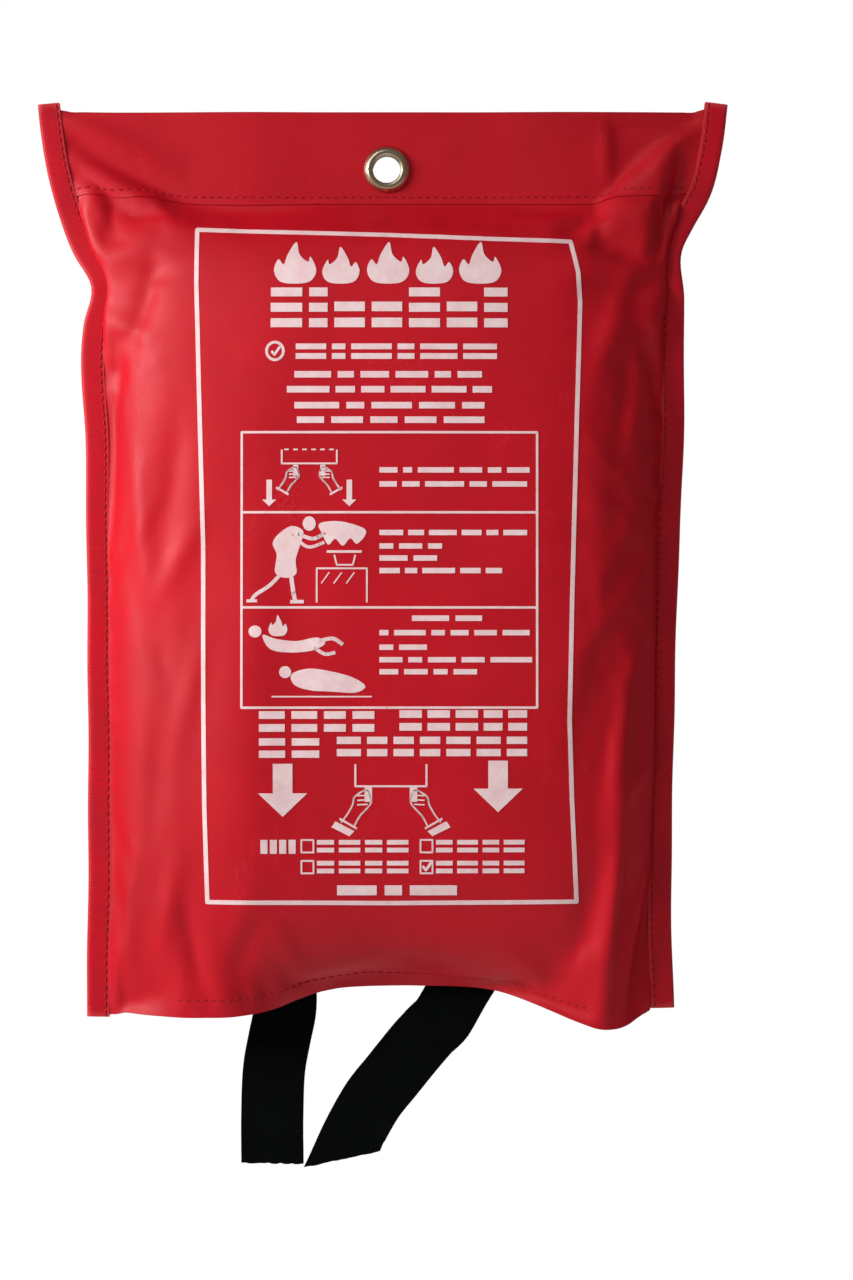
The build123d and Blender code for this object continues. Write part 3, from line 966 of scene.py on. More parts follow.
def build_stitches(front, back, grids, mats):
    """Threads of the bindings, the header, the hems and the hook strip."""
    rows, rear = [], []
    for side, grid in grids:
        normals = grid_normals(grid)
        near, far = (1, -2)[::side]
        rows.append(stitch_line(grid[near], normals[near], TAPE_HALF + 0.06 * MM))
        rear.append(stitch_line(grid[far], normals[far], TAPE_HALF + 0.06 * MM))
    s = np.linspace(-(HALF_WIDTH - 9 * MM), HALF_WIDTH - 9 * MM, 160)
    over_facing = THREAD_LEVEL + 2 * FACING + 0.05 * MM
    rows.append(stitch_row(front, s, HEADER_LINE + 3.2 * MM, over_facing))
    for t in (HEADER_LINE + 3.2 * MM, HEM + 7 * MM):
        rear.append(stitch_row(back, s, t, side=-1))
    low, high = STRIP_LOW[0], STRIP_HIGH[0]
    top, bottom = HEM + 20 * MM, HEM + 10 * MM
    box = [(low, top), (high, top), (high, bottom), (low, bottom), (low, top)]
    share = np.linspace(0, 1, 24)
    for (s0, t0), (s1, t1) in zip(box[:-1], box[1:]):
        rear.append(stitch_row(back, s0 + (s1 - s0) * share, t0 + (t1 - t0) * share, side=-1))
    s = np.linspace(-(LIP_HALF - 2 * MM), LIP_HALF - 2 * MM, 140)
    hem = [stitch_row(front, s, HEM + 7 * MM)]

    for name, lines in (("front_stitches", rows), ("back_stitches", rear), ("lip_stitches", hem)):
        threads = stitch_mesh(name, lines)
        finish_piece(threads, "pouch", mats["thread"])
        if lines is hem:
            give_way(threads)


# ---- grommet and fasteners --------------------------------------------------------
def lathe(name, profile, around=96):
    """Turn a closed (radius, y) outline in millimetres round the Y axis."""
    verts, faces = [], []
    count = len(profile)
    for k in range(around):
        a = 2 * math.pi * k / around
        verts += [(r * MM * math.cos(a), y * MM, r * MM * math.sin(a)) for r, y in profile]
        here, there = k * count, (k + 1) % around * count
        for i in range(count):
            j = (i + 1) % count
            faces.append((here + i, here + j, there + j, there + i))
    obj = new_object(name, verts, faces)
    face_outward(obj)
    return obj


def round_profile(corners):
    """Cut the corners of a closed profile twice, so that every corner is a small radius."""
    p = np.array(corners, float)
    for _ in range(2):
        q = np.roll(p, -1, axis=0)
        p = np.stack([p * 0.75 + q * 0.25, p * 0.25 + q * 0.75], 1).reshape(-1, 2)
    return p.tolist()


def build_grommet(mats):
    """The rolled eyelet in front and the washer that it is rolled over behind."""
    bore, rim = BORE_R / MM, EYELET_HIGH[0] / MM
    face, rear = EYELET_LOW[1] / MM, EYELET_HIGH[1] / MM
    eyelet = [
        (bore, rear - 0.5), (bore, 0.0), (bore, face + 1.1), (bore + 0.25, face + 0.35),
        (bore + 1.0, face), (bore + 2.2, face + 0.05), (rim - 0.75, face + 0.85),
        (rim - 0.05, face + 1.75), (rim, face + 2.2), (rim - 0.3, face + 2.35),
        (rim - 0.9, face + 2.0), (bore + 1.6, face + 1.5), (bore + 0.8, face + 1.9),
        (bore + 0.62, 0.0), (bore + 0.62, rear - 1.1), (bore + 0.9, rear - 0.75),
        (bore + 1.5, rear - 0.95), (bore + 2.0, rear - 0.75), (bore + 2.05, rear - 0.35),
        (bore + 1.6, rear), (bore + 0.7, rear),
    ]
    low, high = (float(c[1]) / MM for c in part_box("grommet_washer"))
    washer = [
        (bore + 0.75, low), (rim - 0.6, low), (rim - 0.1, low + 0.15), (rim, low + 0.45),
        (rim - 0.5, high - 0.05), (rim - 1.3, high + 0.1), (bore + 1.9, high),
        (bore + 1.0, high - 0.15), (bore + 0.75, high - 0.35),
    ]
    for node, profile in (("grommet_eyelet", eyelet), ("grommet_washer", washer)):
        piece = lathe(node + "_ring", round_profile(profile))
        finish_piece(piece, "pouch", mats["brass"], node)


def build_fasteners(front, back, mats):
    """Loop on the flap and hook on the back, one behind the other inside the closed mouth."""
    s = np.linspace(STRIP_LOW[0], STRIP_HIGH[0], 36)
    height = STRIP_HIGH[2] - STRIP_LOW[2]
    t = HEM + 9.5 * MM + np.linspace(height, 0, 13)
    gs, gt = np.meshgrid(s, t, indexing="ij")
    edge = np.minimum(np.minimum(gs - s[0], s[-1] - gs), np.minimum(gt - t[-1], t[0] - gt))
    rng = random.Random(11)
    for cloth, node, word in ((front, "loop_strip", "pile"), (back, "hook_strip", "field")):
        points, normals = cloth.at(gs, gt)
        pile = (0.35 + 0.75 * smoothstep(-0.3 * MM, 1.0 * MM, edge)) * MM
        pile = pile + np.array([[rng.uniform(-0.12, 0.12) for _ in t] for _ in s]) * MM
        pile = pile[..., None]
        skins = (0.03 * MM, -pile) if cloth is front else (pile, -0.03 * MM)
        strip = make_shell(node + "_" + word, points, normals, *skins)
        finish_piece(strip, "pouch", mats[node], node)
        if cloth is front:
            give_way(strip)


# ---- the folded blanket -------------------------------------------------------------
PLEATS, PANELS = 9, 6          # folded along its length, then across its width
LAYER = 0.33 * MM              # cloth thickness
BLANKET_HALF = 97 * MM         # half width of the folded pack
BLANKET_TOP, BLANKET_LOW = -48 * MM, -298 * MM


def accordion(count, turn_steps, flat_steps):
    """Zigzag through unit layers: (position -1..1 across, layer, angle turned through)."""
    path = []
    for k in range(count):
        way = 1 if k % 2 == 0 else -1
        for u in np.linspace(-1, 1, flat_steps):
            path.append((way * u, k, 0.0))
        if k < count - 1:
            for a in np.linspace(0, math.pi, turn_steps + 2)[1:-1]:
                path.append((way * 1.0, k, a))
    return path


def pocket_space(front, back):
    """Front and back limits of the pocket as smooth functions of x and z."""
    xs = np.linspace(-BLANKET_HALF - 4 * MM, BLANKET_HALF + 4 * MM, 15)
    zs = np.linspace(BLANKET_LOW - 6 * MM, BLANKET_TOP + 6 * MM, 17)
    limits = []
    for cloth in (front, back):
        pts = cloth.points.reshape(-1, 3)
        table = np.empty((len(xs), len(zs)))
        for i, x in enumerate(xs):
            for j, z in enumerate(zs):
                near = np.hypot(pts[:, 0] - x, pts[:, 2] - z) < 8 * MM
                table[i, j] = pts[near, 1].max() if cloth is front else pts[near, 1].min()
        limits.append(table)

    def read(table, x, z):
        u = np.clip((x - xs[0]) / (xs[1] - xs[0]), 0, len(xs) - 1.001)
        v = np.clip((z - zs[0]) / (zs[1] - zs[0]), 0, len(zs) - 1.001)
        i, j = u.astype(int), v.astype(int)
        return bilinear(table, i, j, smoothstep(0, 1, u - i), smoothstep(0, 1, v - j))

    return lambda x, z: (read(limits[0], x, z) + 1.2 * MM, read(limits[1], x, z) - 1.2 * MM)


def folded_sheet():
    """Grid of the sheet, its Y from 0 at the front of the pack to 1 at its back."""
    rng = random.Random(4)
    side_slip = [rng.uniform(-1.6, 1.6) * MM for _ in range(PLEATS * 2)]
    end_slip = [rng.uniform(-2.2, 1.2) * MM for _ in range(PANELS * 2)]
    xs, levels = [], []
    for u, k, a in accordion(PLEATS, 3, 6):
        slip = side_slip[k * 2 + (1 if u > 0 else 0)]
        turn = math.copysign(0.5 * MM * math.sin(a), u)
        xs.append(u * (BLANKET_HALF - 1 * MM) + slip * abs(u) + turn)
        levels.append(k + 1 - 0.5 * math.cos(a))
    xs, levels = np.array(xs), np.array(levels) / PLEATS

    half_z = (BLANKET_TOP - BLANKET_LOW) / 2 - 4.5 * MM
    mid_z = (BLANKET_TOP + BLANKET_LOW) / 2
    grid = []
    for v, k, a in accordion(PANELS, 5, 8):
        arm = 1 - (levels if k % 2 == 0 else 1 - levels)
        level = k + 1 - arm * math.cos(a)
        slip = end_slip[k * 2 + (1 if v > 0 else 0)] * abs(v)
        reach = math.copysign(4.2 * MM * math.sin(a), v) * arm
        grid.append(np.stack([xs, level / PANELS, mid_z + v * half_z + slip + reach], -1))
    return np.stack(grid, 1)


def build_blanket(front, back, mats):
    """The folded sheet, pressed into the space between the two panels."""
    grid = folded_sheet()
    x, level, z = (grid[..., k] for k in range(3))
    z += 0.54 * MM * np.sin(x / (38 * MM) + 5 * level) * np.sin(z / (51 * MM))
    near, far = pocket_space(front, back)(x, z)
    grid[..., 1] = near + (far - near) * (0.012 + 0.976 * level)
    normals = grid_normals(grid)
    sheet = make_shell("folded_blanket_cloth", grid, normals, LAYER / 2, -LAYER / 2)
    finish_piece(sheet, "blanket", mats["glass"], "folded_blanket")


# ---- pull tapes ---------------------------------------------------------------------
TAPE_WIDTH = 25 * MM
TAPE_THICK = 1.3 * MM
LEFT_PATH = [(-45, -4, -262), (-45, -4.4, -280), (-45, -4, -298), (-43.6, -1.5, -311),
             (-41.8, 2, -320), (-40.8, 4.1, -328), (-41.0, 4.35, -337), (-43.2, 4.2, -348),
             (-45.4, 3.8, -361), (-46.1, 4.5, -380), (-46.0, 4.4, -398)]
RIGHT_PATH = [(62, -4, -262), (58, -4.4, -279), (49.5, -4, -296), (41, -1.2, -309),
              (35, 2.2, -318), (28.9, 4.3, -328), (22.3, 4.35, -339.4), (16.6, 3.7, -345.2),
              (9.8, 3.6, -353), (1.8, 4.2, -363), (-5.8, 5.0, -372.6), (-12.6, 4.8, -384.5),
              (-18.2, 4.4, -396.4)]

# soft folds across each tape: distance from its cut end, slant, height, width
LEFT_CREASES = [(46, 0.05, 0.9, 6), (40, 0.12, -0.5, 5)]
RIGHT_CREASES = [(66, 0.5, 1.0, 3.2), (58, 0.45, -0.7, 5), (22, -0.2, 0.6, 7)]


def ribbon(name, path, folds, end_cut):
    """A flat strap along a smooth line, its face towards -Y, with soft cross folds."""
    line = smooth_line(path, np.linspace(0, 1, 110))
    along = unit(np.gradient(line, axis=0))
    flatwise = unit(np.stack([-along[:, 2], 0 * along[:, 0], along[:, 0]], -1))
    run = run_length(line)
    left = run[-1] - run
    across = np.linspace(0.5, -0.5, 17)
    rng = random.Random(name)
    fray = [rng.uniform(-0.25, 0.25) * MM for _ in across]
    grid = []
    for k, c in enumerate(across):
        p = line + flatwise * c * TAPE_WIDTH
        slant = (end_cut * c * TAPE_WIDTH + fray[k]) * smoothstep(18 * MM, 0, left)
        p = p + along * slant[:, None]
        cup = 0.35 * MM * (2 * c) ** 2 * np.sin(run / (37 * MM))
        for at, turn, height, width in folds:
            d = (left - at * MM) - c * TAPE_WIDTH * turn
            cup = cup - height * MM * np.exp(-(d / (width * MM)) ** 2)
        p[:, 1] += cup
        grid.append(p)
    grid = np.stack(grid, 0)
    normals = grid_normals(grid)
    c = np.abs(across)[:, None] * 2
    selvedge = 1 + 0.22 * np.exp(-((c - 0.93) / 0.05) ** 2) - 0.25 * smoothstep(0.96, 1.0, c)
    melt = 1 - 0.35 * smoothstep(1.6 * MM, 0.0, left)[None, :]
    half = (TAPE_THICK / 2 * selvedge * melt)[..., None]
    return make_shell(name, grid, normals, half, -half), grid, normals


def cross_box(grid, normals, rows, inset):
    """Box and cross stitching over a stretch of the strap."""
    i0, i1 = inset, grid.shape[0] - 1 - inset
    j0, j1 = rows
    corners = [(i0, j0), (i1, j0), (i1, j1), (i0, j1), (i0, j0), (i1, j1)]
    lines = list(zip(corners[:-1], corners[1:])) + [((i1, j0), (i0, j1))]
    out = []
    for (a, b), (c, d) in lines:
        share = np.linspace(0, 1, 30)
        u, v = a + (c - a) * share, b + (d - b) * share
        i, j = np.minimum(u.astype(int), i1 - 1), np.minimum(v.astype(int), j1 - 1)
        where = i, j, (u - i)[:, None], (v - j)[:, None]
        way = unit(bilinear(normals, *where))
        out.append(stitch_line(bilinear(grid, *where), way, TAPE_THICK / 2 + 0.05 * MM))
    return out


def build_tapes(mats):
    """Each tape is one strap from between the folds to its cut end."""
    spots = [("left", LEFT_PATH, LEFT_CREASES, 0.02), ("right", RIGHT_PATH, RIGHT_CREASES, -0.75)]
    for side, path, folds, end_cut in spots:
        name, body = side + "_pull_tape", side + "_tape"
        tape, grid, normals = ribbon(name, path, folds, end_cut)
        tape.data.materials.append(mats[side + "_webbing"])
        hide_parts(body + "_sewn", body + "_tail")
        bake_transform(tape)
        box = stitch_mesh(name + "_stitches", cross_box(grid, normals, rows=(3, 18), inset=2))
        finish_piece(box, "blanket", mats["glass"])


# ---- the print --------------------------------------------------------------------
PRINT_SCALE = 0.979            # the printed face stands nearer to the eye than the header plane
PRINT_LIFT = 0.17 * MM         # outer face of the ink, above the cloth
INK_THICK = 0.14 * MM
INK_STEP = 2.6 * MM            # longest edge of the ink's faces before they are laid down
VIEW_X, VIEW_Z = 15.8 * MM, -188 * MM   # middle of the camera's view


class Print:
    """Flat artwork in millimetres, seen from the front, later laid on the cloth."""

    def __init__(self):
        self.bm = bmesh.new()

    def face(self, points):
        """One flat face with its corners at the points."""
        self.bm.faces.new([self.bm.verts.new((x * MM, 0, z * MM)) for x, z in points])

    def bar(self, x0, x1, z0, z1):
        self.face([(x0, z1), (x0, z0), (x1, z0), (x1, z1)])

    def disc(self, x, z, r, r2=None, around=18):
        """A disc of radius r, or an ellipse r across and r2 high."""
        r2 = r2 or r
        turns = np.linspace(0, 2 * math.pi, around, endpoint=False)
        self.face([(x + r * math.cos(a), z + r2 * math.sin(a)) for a in turns])

    def stroke(self, points, width, closed=False):
        """A line of even width with rounded joints."""
        p = [np.array(q, float) for q in points]
        for a, b in zip(p, p[1:] + p[:1] if closed else p[1:]):
            d = (b - a) / np.hypot(*(b - a))
            side = np.array([-d[1], d[0]]) * width / 2
            self.face([a + side, a - side, b - side, b + side])
        for x, z in p if closed else p[1:-1]:
            self.disc(x, z, width / 2 * 0.995, around=10)

    def curve(self, points, width):
        """A rounded line through the points."""
        self.stroke(smooth_outline(points, False), width)

    def blob(self, points):
        """A filled shape with a rounded outline through the points."""
        self.face(smooth_outline(points, True))


def smooth_outline(points, closed):
    """Points on a Catmull-Rom line, five to each of its spans."""
    p = np.array(points, float)
    pad = [p[-1:], p, p[:2]] if closed else [p[:1], p, p[-1:]]
    pad = np.concatenate(pad)
    out = []
    for a, b, c, d in zip(pad, pad[1:], pad[2:], pad[3:]):
        for u in (0, 0.2, 0.4, 0.6, 0.8):
            bend = (2 * a - 5 * b + 4 * c - d) * u**2 + (3 * b - a - 3 * c + d) * u**3
            out.append(0.5 * (2 * b + (c - a) * u + bend))
    return out if closed else out + [p[-1]]


def words(art, x0, x1, z0, z1, lengths, gap, bars=1):
    """A greeked line: plain word-length bars in place of lettering, fitted between x0 and x1."""
    k = (x1 - x0) / (sum(lengths) + gap * (len(lengths) - 1))
    x = x0
    for n in lengths:
        if bars == 1:
            art.bar(x, x + n * k, z0, z1)
        else:
            h = (z1 - z0) / (2 * bars - 1) * 1.12
            for b in range(bars):
                low = z0 + (z1 - z0 - h) * b / (bars - 1)
                art.bar(x, x + n * k, low, low + h)
        x += (n + gap) * k


FLAME = [(-0.36, 0.06), (0, 0), (0.36, 0.06), (0.5, 0.32), (0.40, 0.58), (0.27, 0.46),
         (0.18, 0.70), (-0.02, 1.0), (-0.10, 0.70), (-0.30, 0.52), (-0.36, 0.64), (-0.5, 0.32)]


def flame(art, x, z, w, h, lean=1):
    """A flame standing on (x, z); lean is 1 or -1 for the way its tips point."""
    art.blob([(x + u * w * lean, z + v * h) for u, v in FLAME])


def down_arrow(art, x, top, bottom, head, shaft):
    """A fat arrow pointing down, head and shaft given by their widths."""
    neck = bottom + head * 0.48
    left = [(-shaft / 2, top), (-shaft / 2, neck), (-head / 2, neck)]
    right = [(-dx, z) for dx, z in left[::-1]]
    art.face([(x + dx, z) for dx, z in left + [(0, bottom)] + right])


def hand(art, x, z, side, size):
    """A closed hand on a tape, drawn as a rounded fist with finger lines and a cuff."""
    def at(*points):
        return [(x + u * side * size, z + v * size) for u, v in points]

    art.curve(at((-1.5, 6), (-4.6, 3.6), (-5.4, 0.4), (-7.6, -3.6), (-10.2, -7)), 0.7)
    art.curve(at((1.9, 4.6), (2.4, 1.4), (0.2, -1.6), (-2.4, -4.4), (-4.6, -8.4)), 0.7)
    art.curve(at((-1.5, 6), (0.6, 6.6), (1.9, 4.6)), 0.7)
    for d in (0, 1.9, 3.8):
        art.stroke(at((-3.4, 4.2 - d), (0.9, 4.4 - d)), 0.55)
    art.stroke(at((-10.9, -5.4), (-3.6, -9.6)), 0.8)


def picture_pull(art):
    """Panel 1: two hands take the tapes under the pouch."""
    art.stroke([(-42, -112), (-42, -117.5), (-20, -117.5), (-20, -112)], 0.7)
    for n in range(6):
        art.bar(-41 + 3.6 * n, -39.2 + 3.6 * n, -112.2, -111.6)
    for x, k in ((-36.4, 1), (-25.6, -1)):
        art.bar(x - 1.0, x + 1.0, -122.4, -118)
        hand(art, x - 0.4 * k, -123.4, k, 0.68)
    for x in (-47.0, -15.0):
        down_arrow(art, x, -124, -134.6, 5.6, 2.2)


def picture_cover(art):
    """Panel 2: a figure lays the blanket over a burning pan."""
    art.disc(-31, -141.5, 2.6, 2.9)
    art.blob([(-43, -145.5), (-38, -142.5), (-33.4, -144.6), (-34.6, -150), (-36.4, -156),
              (-36.2, -161.5), (-40.5, -163.2), (-44.6, -161), (-44, -154), (-45.6, -149.4)])
    art.curve([(-35.6, -145.5), (-29.5, -147.6), (-24.6, -145.2)], 1.5)
    art.curve([(-38.5, -145), (-31.8, -150.8), (-25, -149)], 1.3)
    art.curve([(-42.6, -162), (-47, -166.4), (-52.2, -169.8), (-53.8, -171.8)], 1.5)
    art.curve([(-38.2, -162.6), (-37.4, -168.4), (-36.6, -172.4)], 1.7)
    art.bar(-38.6, -33.2, -173.4, -172.0)
    art.bar(-56, -51.8, -173.0, -171.8)
    art.blob([(-27, -141.6), (-19, -140.6), (-9.6, -143.2), (-8.6, -146), (-12, -149.6),
              (-14.6, -147.4), (-17.6, -150.4), (-20.6, -147.6), (-23.4, -150), (-25.6, -146)])
    art.bar(-24, -10, -153.2, -152.2)
    art.stroke([(-21, -154), (-20, -158), (-13.6, -158), (-12.6, -154)], 0.7)
    art.stroke([(-28, -173), (-28, -159.4), (-8, -159.4), (-8, -173)], 0.7)
    for x in (-23, -18, -13):
        art.stroke([(x, -161), (x - 3.2, -165.4)], 0.5)


def picture_roll(art):
    """Panel 3: a figure lies on the ground and is rolled in the blanket."""
    art.disc(-52.6, -184.6, 2.6, 2.4)
    flame(art, -43.5, -186.5, 7.5, 8.5)
    art.blob([(-49.6, -186), (-44, -187.6), (-36, -188.4), (-28, -187), (-24.6, -189.4),
              (-30, -192.2), (-38.6, -193), (-46.6, -191.6)])
    art.curve([(-27, -188.4), (-21.6, -187.4), (-17.6, -189.8)], 1.5)
    art.curve([(-29, -191), (-24.8, -193.6), (-20.6, -193)], 1.4)
    art.disc(-40.6, -200.8, 2.4, 2.4)
    art.blob([(-38, -201.6), (-31, -199.4), (-22, -200.6), (-14, -202.8), (-8.6, -206.4),
              (-12.6, -209), (-22, -208.6), (-31, -208), (-37, -205.8)])
    art.stroke([(-46, -210.6), (-6, -210.6)], 0.6)


def picture_release(art):
    """Foot of the print: tapes and hands again, larger."""
    art.stroke([(-12.6, -237.6), (-12.6, -246.4), (15.8, -246.4), (15.8, -237.6)], 0.8)
    for x, k in ((-7.4, 1), (10.6, -1)):
        art.bar(x - 1.5, x + 1.5, -252.6, -246.8)
        hand(art, x - 1.2 * k, -254.2, k, 0.95)
        cuff = [(13.2, -260.4), (5.6, -264.4), (7.6, -266.4), (14.8, -262.8)]
        art.face([(x - u * k, z) for u, z in cuff])


def frame_line(art):
    """The frame round the whole print, drawn in by the filling of the pouch."""
    top = [(-77, -22), (-40, -23.2), (0, -24.4), (40, -26), (74, -27)]
    left = [(-77, -22), (-76.8, -44), (-76, -64), (-75, -98), (-73.5, -150), (-73.4, -212),
            (-73, -255), (-72, -293)]
    right = [(74, -27), (76.8, -40), (77.5, -52), (76, -98), (74, -172), (73, -220),
             (74, -252), (76, -293)]
    low = [(-72, -293), (0, -293.4), (76, -293)]
    width = 1.75
    for side in (top, left, right, low):
        art.stroke(side, width)
    for x, z in (left[0], right[0], left[-1], right[-1]):
        art.disc(x, z, width / 2, around=10)


def title(art):
    """A row of flames, a row of bars, a ticked ring and the lines under them."""
    for n, x in enumerate((-37, -18.6, 0.4, 19, 37.4)):
        w, h, lean = (15.0, 15.4, 1) if n % 2 else (17.0, 17.5, -1)
        flame(art, x, -45, w, h, lean)
    x = -46.6
    letters = ((12.6, 3), (7.4, 3), (12.2, 2), (12.2, 2), (12.4, 3), (12.2, 2), (9.4, 3))
    for width, bars in letters:
        words(art, x, x + width, -62.8, -46.6 if bars == 3 else -52.4, [width], 0, bars)
        x += width + 2.75
    turns = np.linspace(0, 2 * math.pi, 15, endpoint=False)
    ring = [(-44.8 + 3.4 * math.cos(a), -72.4 + 3.6 * math.sin(a)) for a in turns]
    art.stroke(ring, 1.1, True)
    art.stroke([(-46.2, -72.4), (-45, -73.9), (-42.8, -70.6)], 1.0)
    words(art, -36.5, 44, -75.6, -69.4, [9, 4, 12, 5, 11, 10], 1.7, bars=2)
    rows = [(-81.6, -37, 38, [9, 4, 7, 8, 4, 6]), (-87.6, -40, 42, [11, 5, 6, 9, 9, 5]),
            (-94.0, -37, 39, [10, 4, 9, 8, 5]), (-99.8, -36, 39, [6, 7, 6, 7, 9])]
    for z, x0, x1, lengths in rows:
        words(art, x0, x1, z - 1.5, z + 1.1, lengths, 1.6)


def instructions(art):
    """Three panels, each with a picture and lines of text."""
    left, right, top, bottom = -58, 60, -105, -215
    for z in (top, -137, -175, bottom):
        art.stroke([(left, z), (0, z), (right, z)], 0.95)
    for x in (left, right):
        art.stroke([(x, top), (x, bottom)], 0.95)
    for x in (left, right):
        for z in (top, bottom):
            art.disc(x, z, 0.47, around=8)
    lines = [(-120, 57, [4, 2, 8, 5, 3, 5]), (-125.6, 56, [4, 4, 9, 4, 8]),
             (-145, 56, [6, 4, 7, 5, 3, 6]), (-150.4, 22, [3, 5, 3]), (-155.2, 20, [6, 5]),
             (-160.2, 46, [5, 3, 8, 5, 4]), (-185, 57, [2, 7, 3, 4, 5, 6]),
             (-190.8, 16, [3, 6]), (-195.8, 58, [5, 3, 6, 5, 9]), (-200.6, 36, [4, 5, 3, 5])]
    for z, x1, lengths in lines:
        words(art, -3, x1, z - 1.15, z + 1.0, lengths, 1.25)
    words(art, 10, 38, -180.4, -178.2, [7, 5], 1.2)
    picture_pull(art)
    picture_cover(art)
    picture_roll(art)


def size_row(art, z, ticked):
    """Two boxes with a size beside each, the second of them ticked or not."""
    for x in (-34.2, 13.4):
        box = [(x, z + 2.5), (x, z - 2.5), (x + 4.8, z - 2.5), (x + 4.8, z + 2.5)]
        art.stroke(box, 0.7, True)
    if ticked:
        art.stroke([(14.2, z + 0.4), (15.6, z - 1.2), (17.8, z + 2.0)], 1.1)
    for x0, x1 in ((-28, 8.6), (19.6, 55)):
        words(art, x0, x1, z - 2.5, z + 2.5, [4, 5, 4, 5], 1.1, bars=2)


def foot(art):
    """Two lines of large text, the arrows beside the hands, and the sizes."""
    words(art, -51, -5, -224.6, -216.4, [10, 10, 8.5, 8.5], 2.6, bars=2)
    words(art, 5, 56, -224.2, -216.0, [9.5, 9.5, 9.5, 8, 8], 2.4, bars=2)
    words(art, -51, -27, -235.0, -227.2, [9.5, 10], 2.4, bars=2)
    words(art, -20, 56, -234.4, -226.6, [9.5, 8, 8, 8, 9.5, 9.5, 8], 2.4, bars=2)
    down_arrow(art, -41.6, -237.4, -258.6, 19.6, 7.8)
    down_arrow(art, 44.4, -236.2, -256.8, 19.6, 7.8)
    picture_release(art)
    words(art, -50.5, -36.5, -273.4, -267.8, [3, 3, 3, 3], 1.0)
    size_row(art, -270.4, False)
    size_row(art, -278.8, True)
    words(art, -20, 28, -290.2, -286.2, [8, 3.5, 9.5], 1.6)


def divide_edges(bm, longest):
    """Cut every edge until none is longer than that, keeping triangles."""
    bmesh.ops.triangulate(bm, faces=bm.faces)
    for _ in range(8):
        too_long = [e for e in bm.edges if e.calc_length() > longest]
        if not too_long:
            return
        bmesh.ops.subdivide_edges(bm, edges=too_long, cuts=1)
        bmesh.ops.triangulate(bm, faces=bm.faces)


def build_print(front, mats):
    """Lay the artwork on the front panel and give the ink its thickness."""
    art = Print()
    for draw in (frame_line, title, instructions, foot):
        draw(art)
    bm = art.bm
    bmesh.ops.recalc_face_normals(bm, faces=bm.faces)
    divide_edges(bm, INK_STEP)

    cols, rows = front.points.shape[:2]
    skin = (front.points + front.normals * SKIN).reshape(-1, 3)
    quads = [(i * rows + j, i * rows + j + 1, (i + 1) * rows + j + 1, (i + 1) * rows + j)
             for i in range(cols - 1) for j in range(rows - 1)]
    cloth = BVHTree.FromPolygons([Vector(v) for v in skin], quads)
    for v in bm.verts:
        x = VIEW_X + (v.co.x - VIEW_X) * PRINT_SCALE
        z = VIEW_Z + (v.co.z - VIEW_Z) * PRINT_SCALE
        hit, normal = cloth.ray_cast(Vector((x, -0.2, z)), Vector((0, 1, 0)))[:2]
        v.co = hit + normal * PRINT_LIFT
    for f in bm.faces:
        f.normal_update()
        if f.normal.y > 0:
            f.normal_flip()
    mesh = bpy.data.meshes.new("front_print_ink")
    bm.to_mesh(mesh)
    bm.free()

    ink = link("front_print_ink", mesh)
    solid = ink.modifiers.new("thickness", "SOLIDIFY")
    solid.thickness = INK_THICK
    solid.offset = -1
    made = ink.evaluated_get(bpy.context.evaluated_depsgraph_get())
    ink.data = bpy.data.meshes.new_from_object(made)
    ink.modifiers.clear()
    finish_piece(ink, "pouch", mats["ink"])


# ---- studio -----------------------------------------------------------------------
VIEW_DISTANCE = 1.35
PICTURE_HEIGHT = 512 * MM      # what the picture shows at the header plane
FLOOR_HALF, FLOOR_Z = 3.2, -1.5


def area_light(name, place, size, energy, target, spread=180):
    """A rectangular light aimed at a target; a small spread keeps its beam narrow."""
    data = bpy.data.lights.new(name, "AREA")
    data.shape = "RECTANGLE"
    data.size, data.size_y = size
    data.energy = energy
    data.spread = math.radians(spread)
    light = link(name, data)
    light.location = place
    light.rotation_euler = (Vector(target) - light.location).to_track_quat("-Z", "Y").to_euler()


def build_camera():
    """The eye straight before the pouch, at the height of its middle."""
    camera = bpy.data.cameras.new("camera")
    camera.sensor_fit = "VERTICAL"
    camera.sensor_height = 36
    camera.lens = camera.sensor_height * VIEW_DISTANCE / PICTURE_HEIGHT
    camera.clip_start = 0.05
    eye = link("camera", camera)
    eye.location = (VIEW_X, -VIEW_DISTANCE, VIEW_Z)
    eye.rotation_euler = (math.pi / 2, 0, 0)
    bpy.context.scene.camera = eye
    bpy.context.scene.view_settings.view_transform = "Standard"


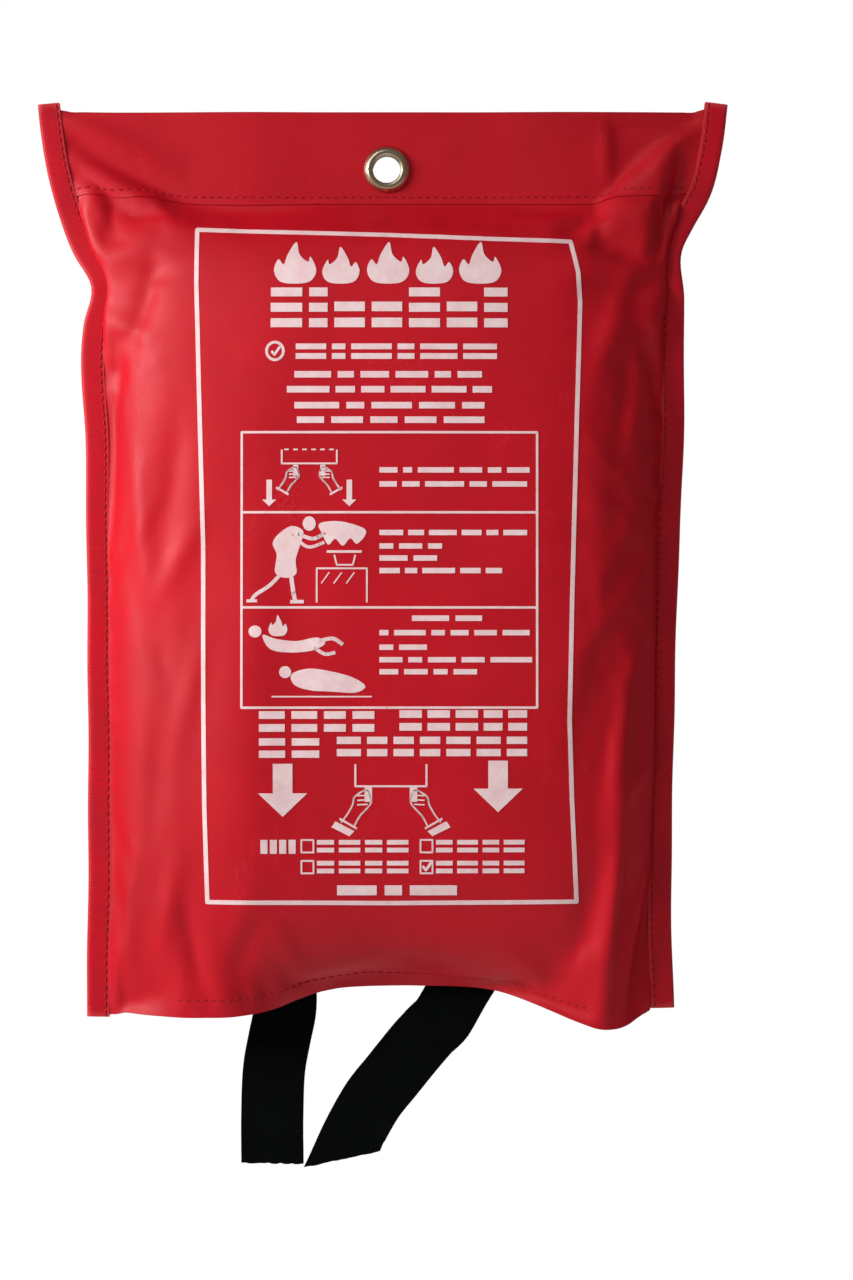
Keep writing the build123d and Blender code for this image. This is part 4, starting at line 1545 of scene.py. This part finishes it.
def build_world():
    """Soft light all round, and plain white where the camera sees past the pouch."""
    world = bpy.data.worlds.new("studio")
    world.use_nodes = True
    tree = world.node_tree
    seen = tree.nodes.new("ShaderNodeLightPath").outputs["Is Camera Ray"]
    strength = tree.nodes.new("ShaderNodeMapRange")
    strength.inputs["To Min"].default_value = 0.14
    strength.inputs["To Max"].default_value = 1.0
    background = tree.nodes["Background"]
    background.inputs["Color"].default_value = (1, 1, 1, 1)
    tree.links.new(seen, strength.inputs["Value"])
    tree.links.new(strength.outputs["Result"], background.inputs["Strength"])
    bpy.context.scene.world = world


def build_floor():
    """A plain pale floor, far below the hanging pouch."""
    w, z = FLOOR_HALF, FLOOR_Z
    floor = new_object("floor", [(-w, -w, z), (w, -w, z), (w, w, z), (-w, w, z)], [(0, 1, 2, 3)])
    paint = Tree("floor_paint")
    colour = paint.mix(paint.noise(3.0), (0.86, 0.86, 0.86), (0.83, 0.83, 0.83))
    paint.set(Base_Color=colour, Roughness=0.9)
    paint.set(Emission_Color=(1, 1, 1, 1), Emission_Strength=0.45)
    floor.data.materials.append(paint.material)


def build_studio():
    """Camera, backdrop and lights: a narrow key from the left and three soft fills."""
    build_camera()
    build_world()
    build_floor()
    middle = (0.0, 0.0, -0.16)
    area_light("key_left", (-0.80, -0.42, 0.12), (0.4, 0.4), 1.5, (0.0, 0.0, -0.22), 60)
    area_light("fill_behind", (0.7, 1.5, 0.7), (1.2, 1.0), 15.0, middle)
    area_light("fill_left_behind", (-1.3, 1.2, 0.1), (0.8, 0.8), 6.0, middle)
    area_light("fill_above", (-0.75, -1.2, 0.95), (1.0, 0.8), 5.5, middle)


# ---- everything --------------------------------------------------------------------
build_studio()
materials = make_materials()
front_cloth, back_cloth = make_cloths()
build_panels(front_cloth, back_cloth, materials)
build_header_facing(front_cloth, materials)
binding_grids = build_bindings(materials)
build_stitches(front_cloth, back_cloth, binding_grids, materials)
build_grommet(materials)
build_fasteners(front_cloth, back_cloth, materials)
build_blanket(front_cloth, back_cloth, materials)
build_tapes(materials)
build_print(front_cloth, materials)
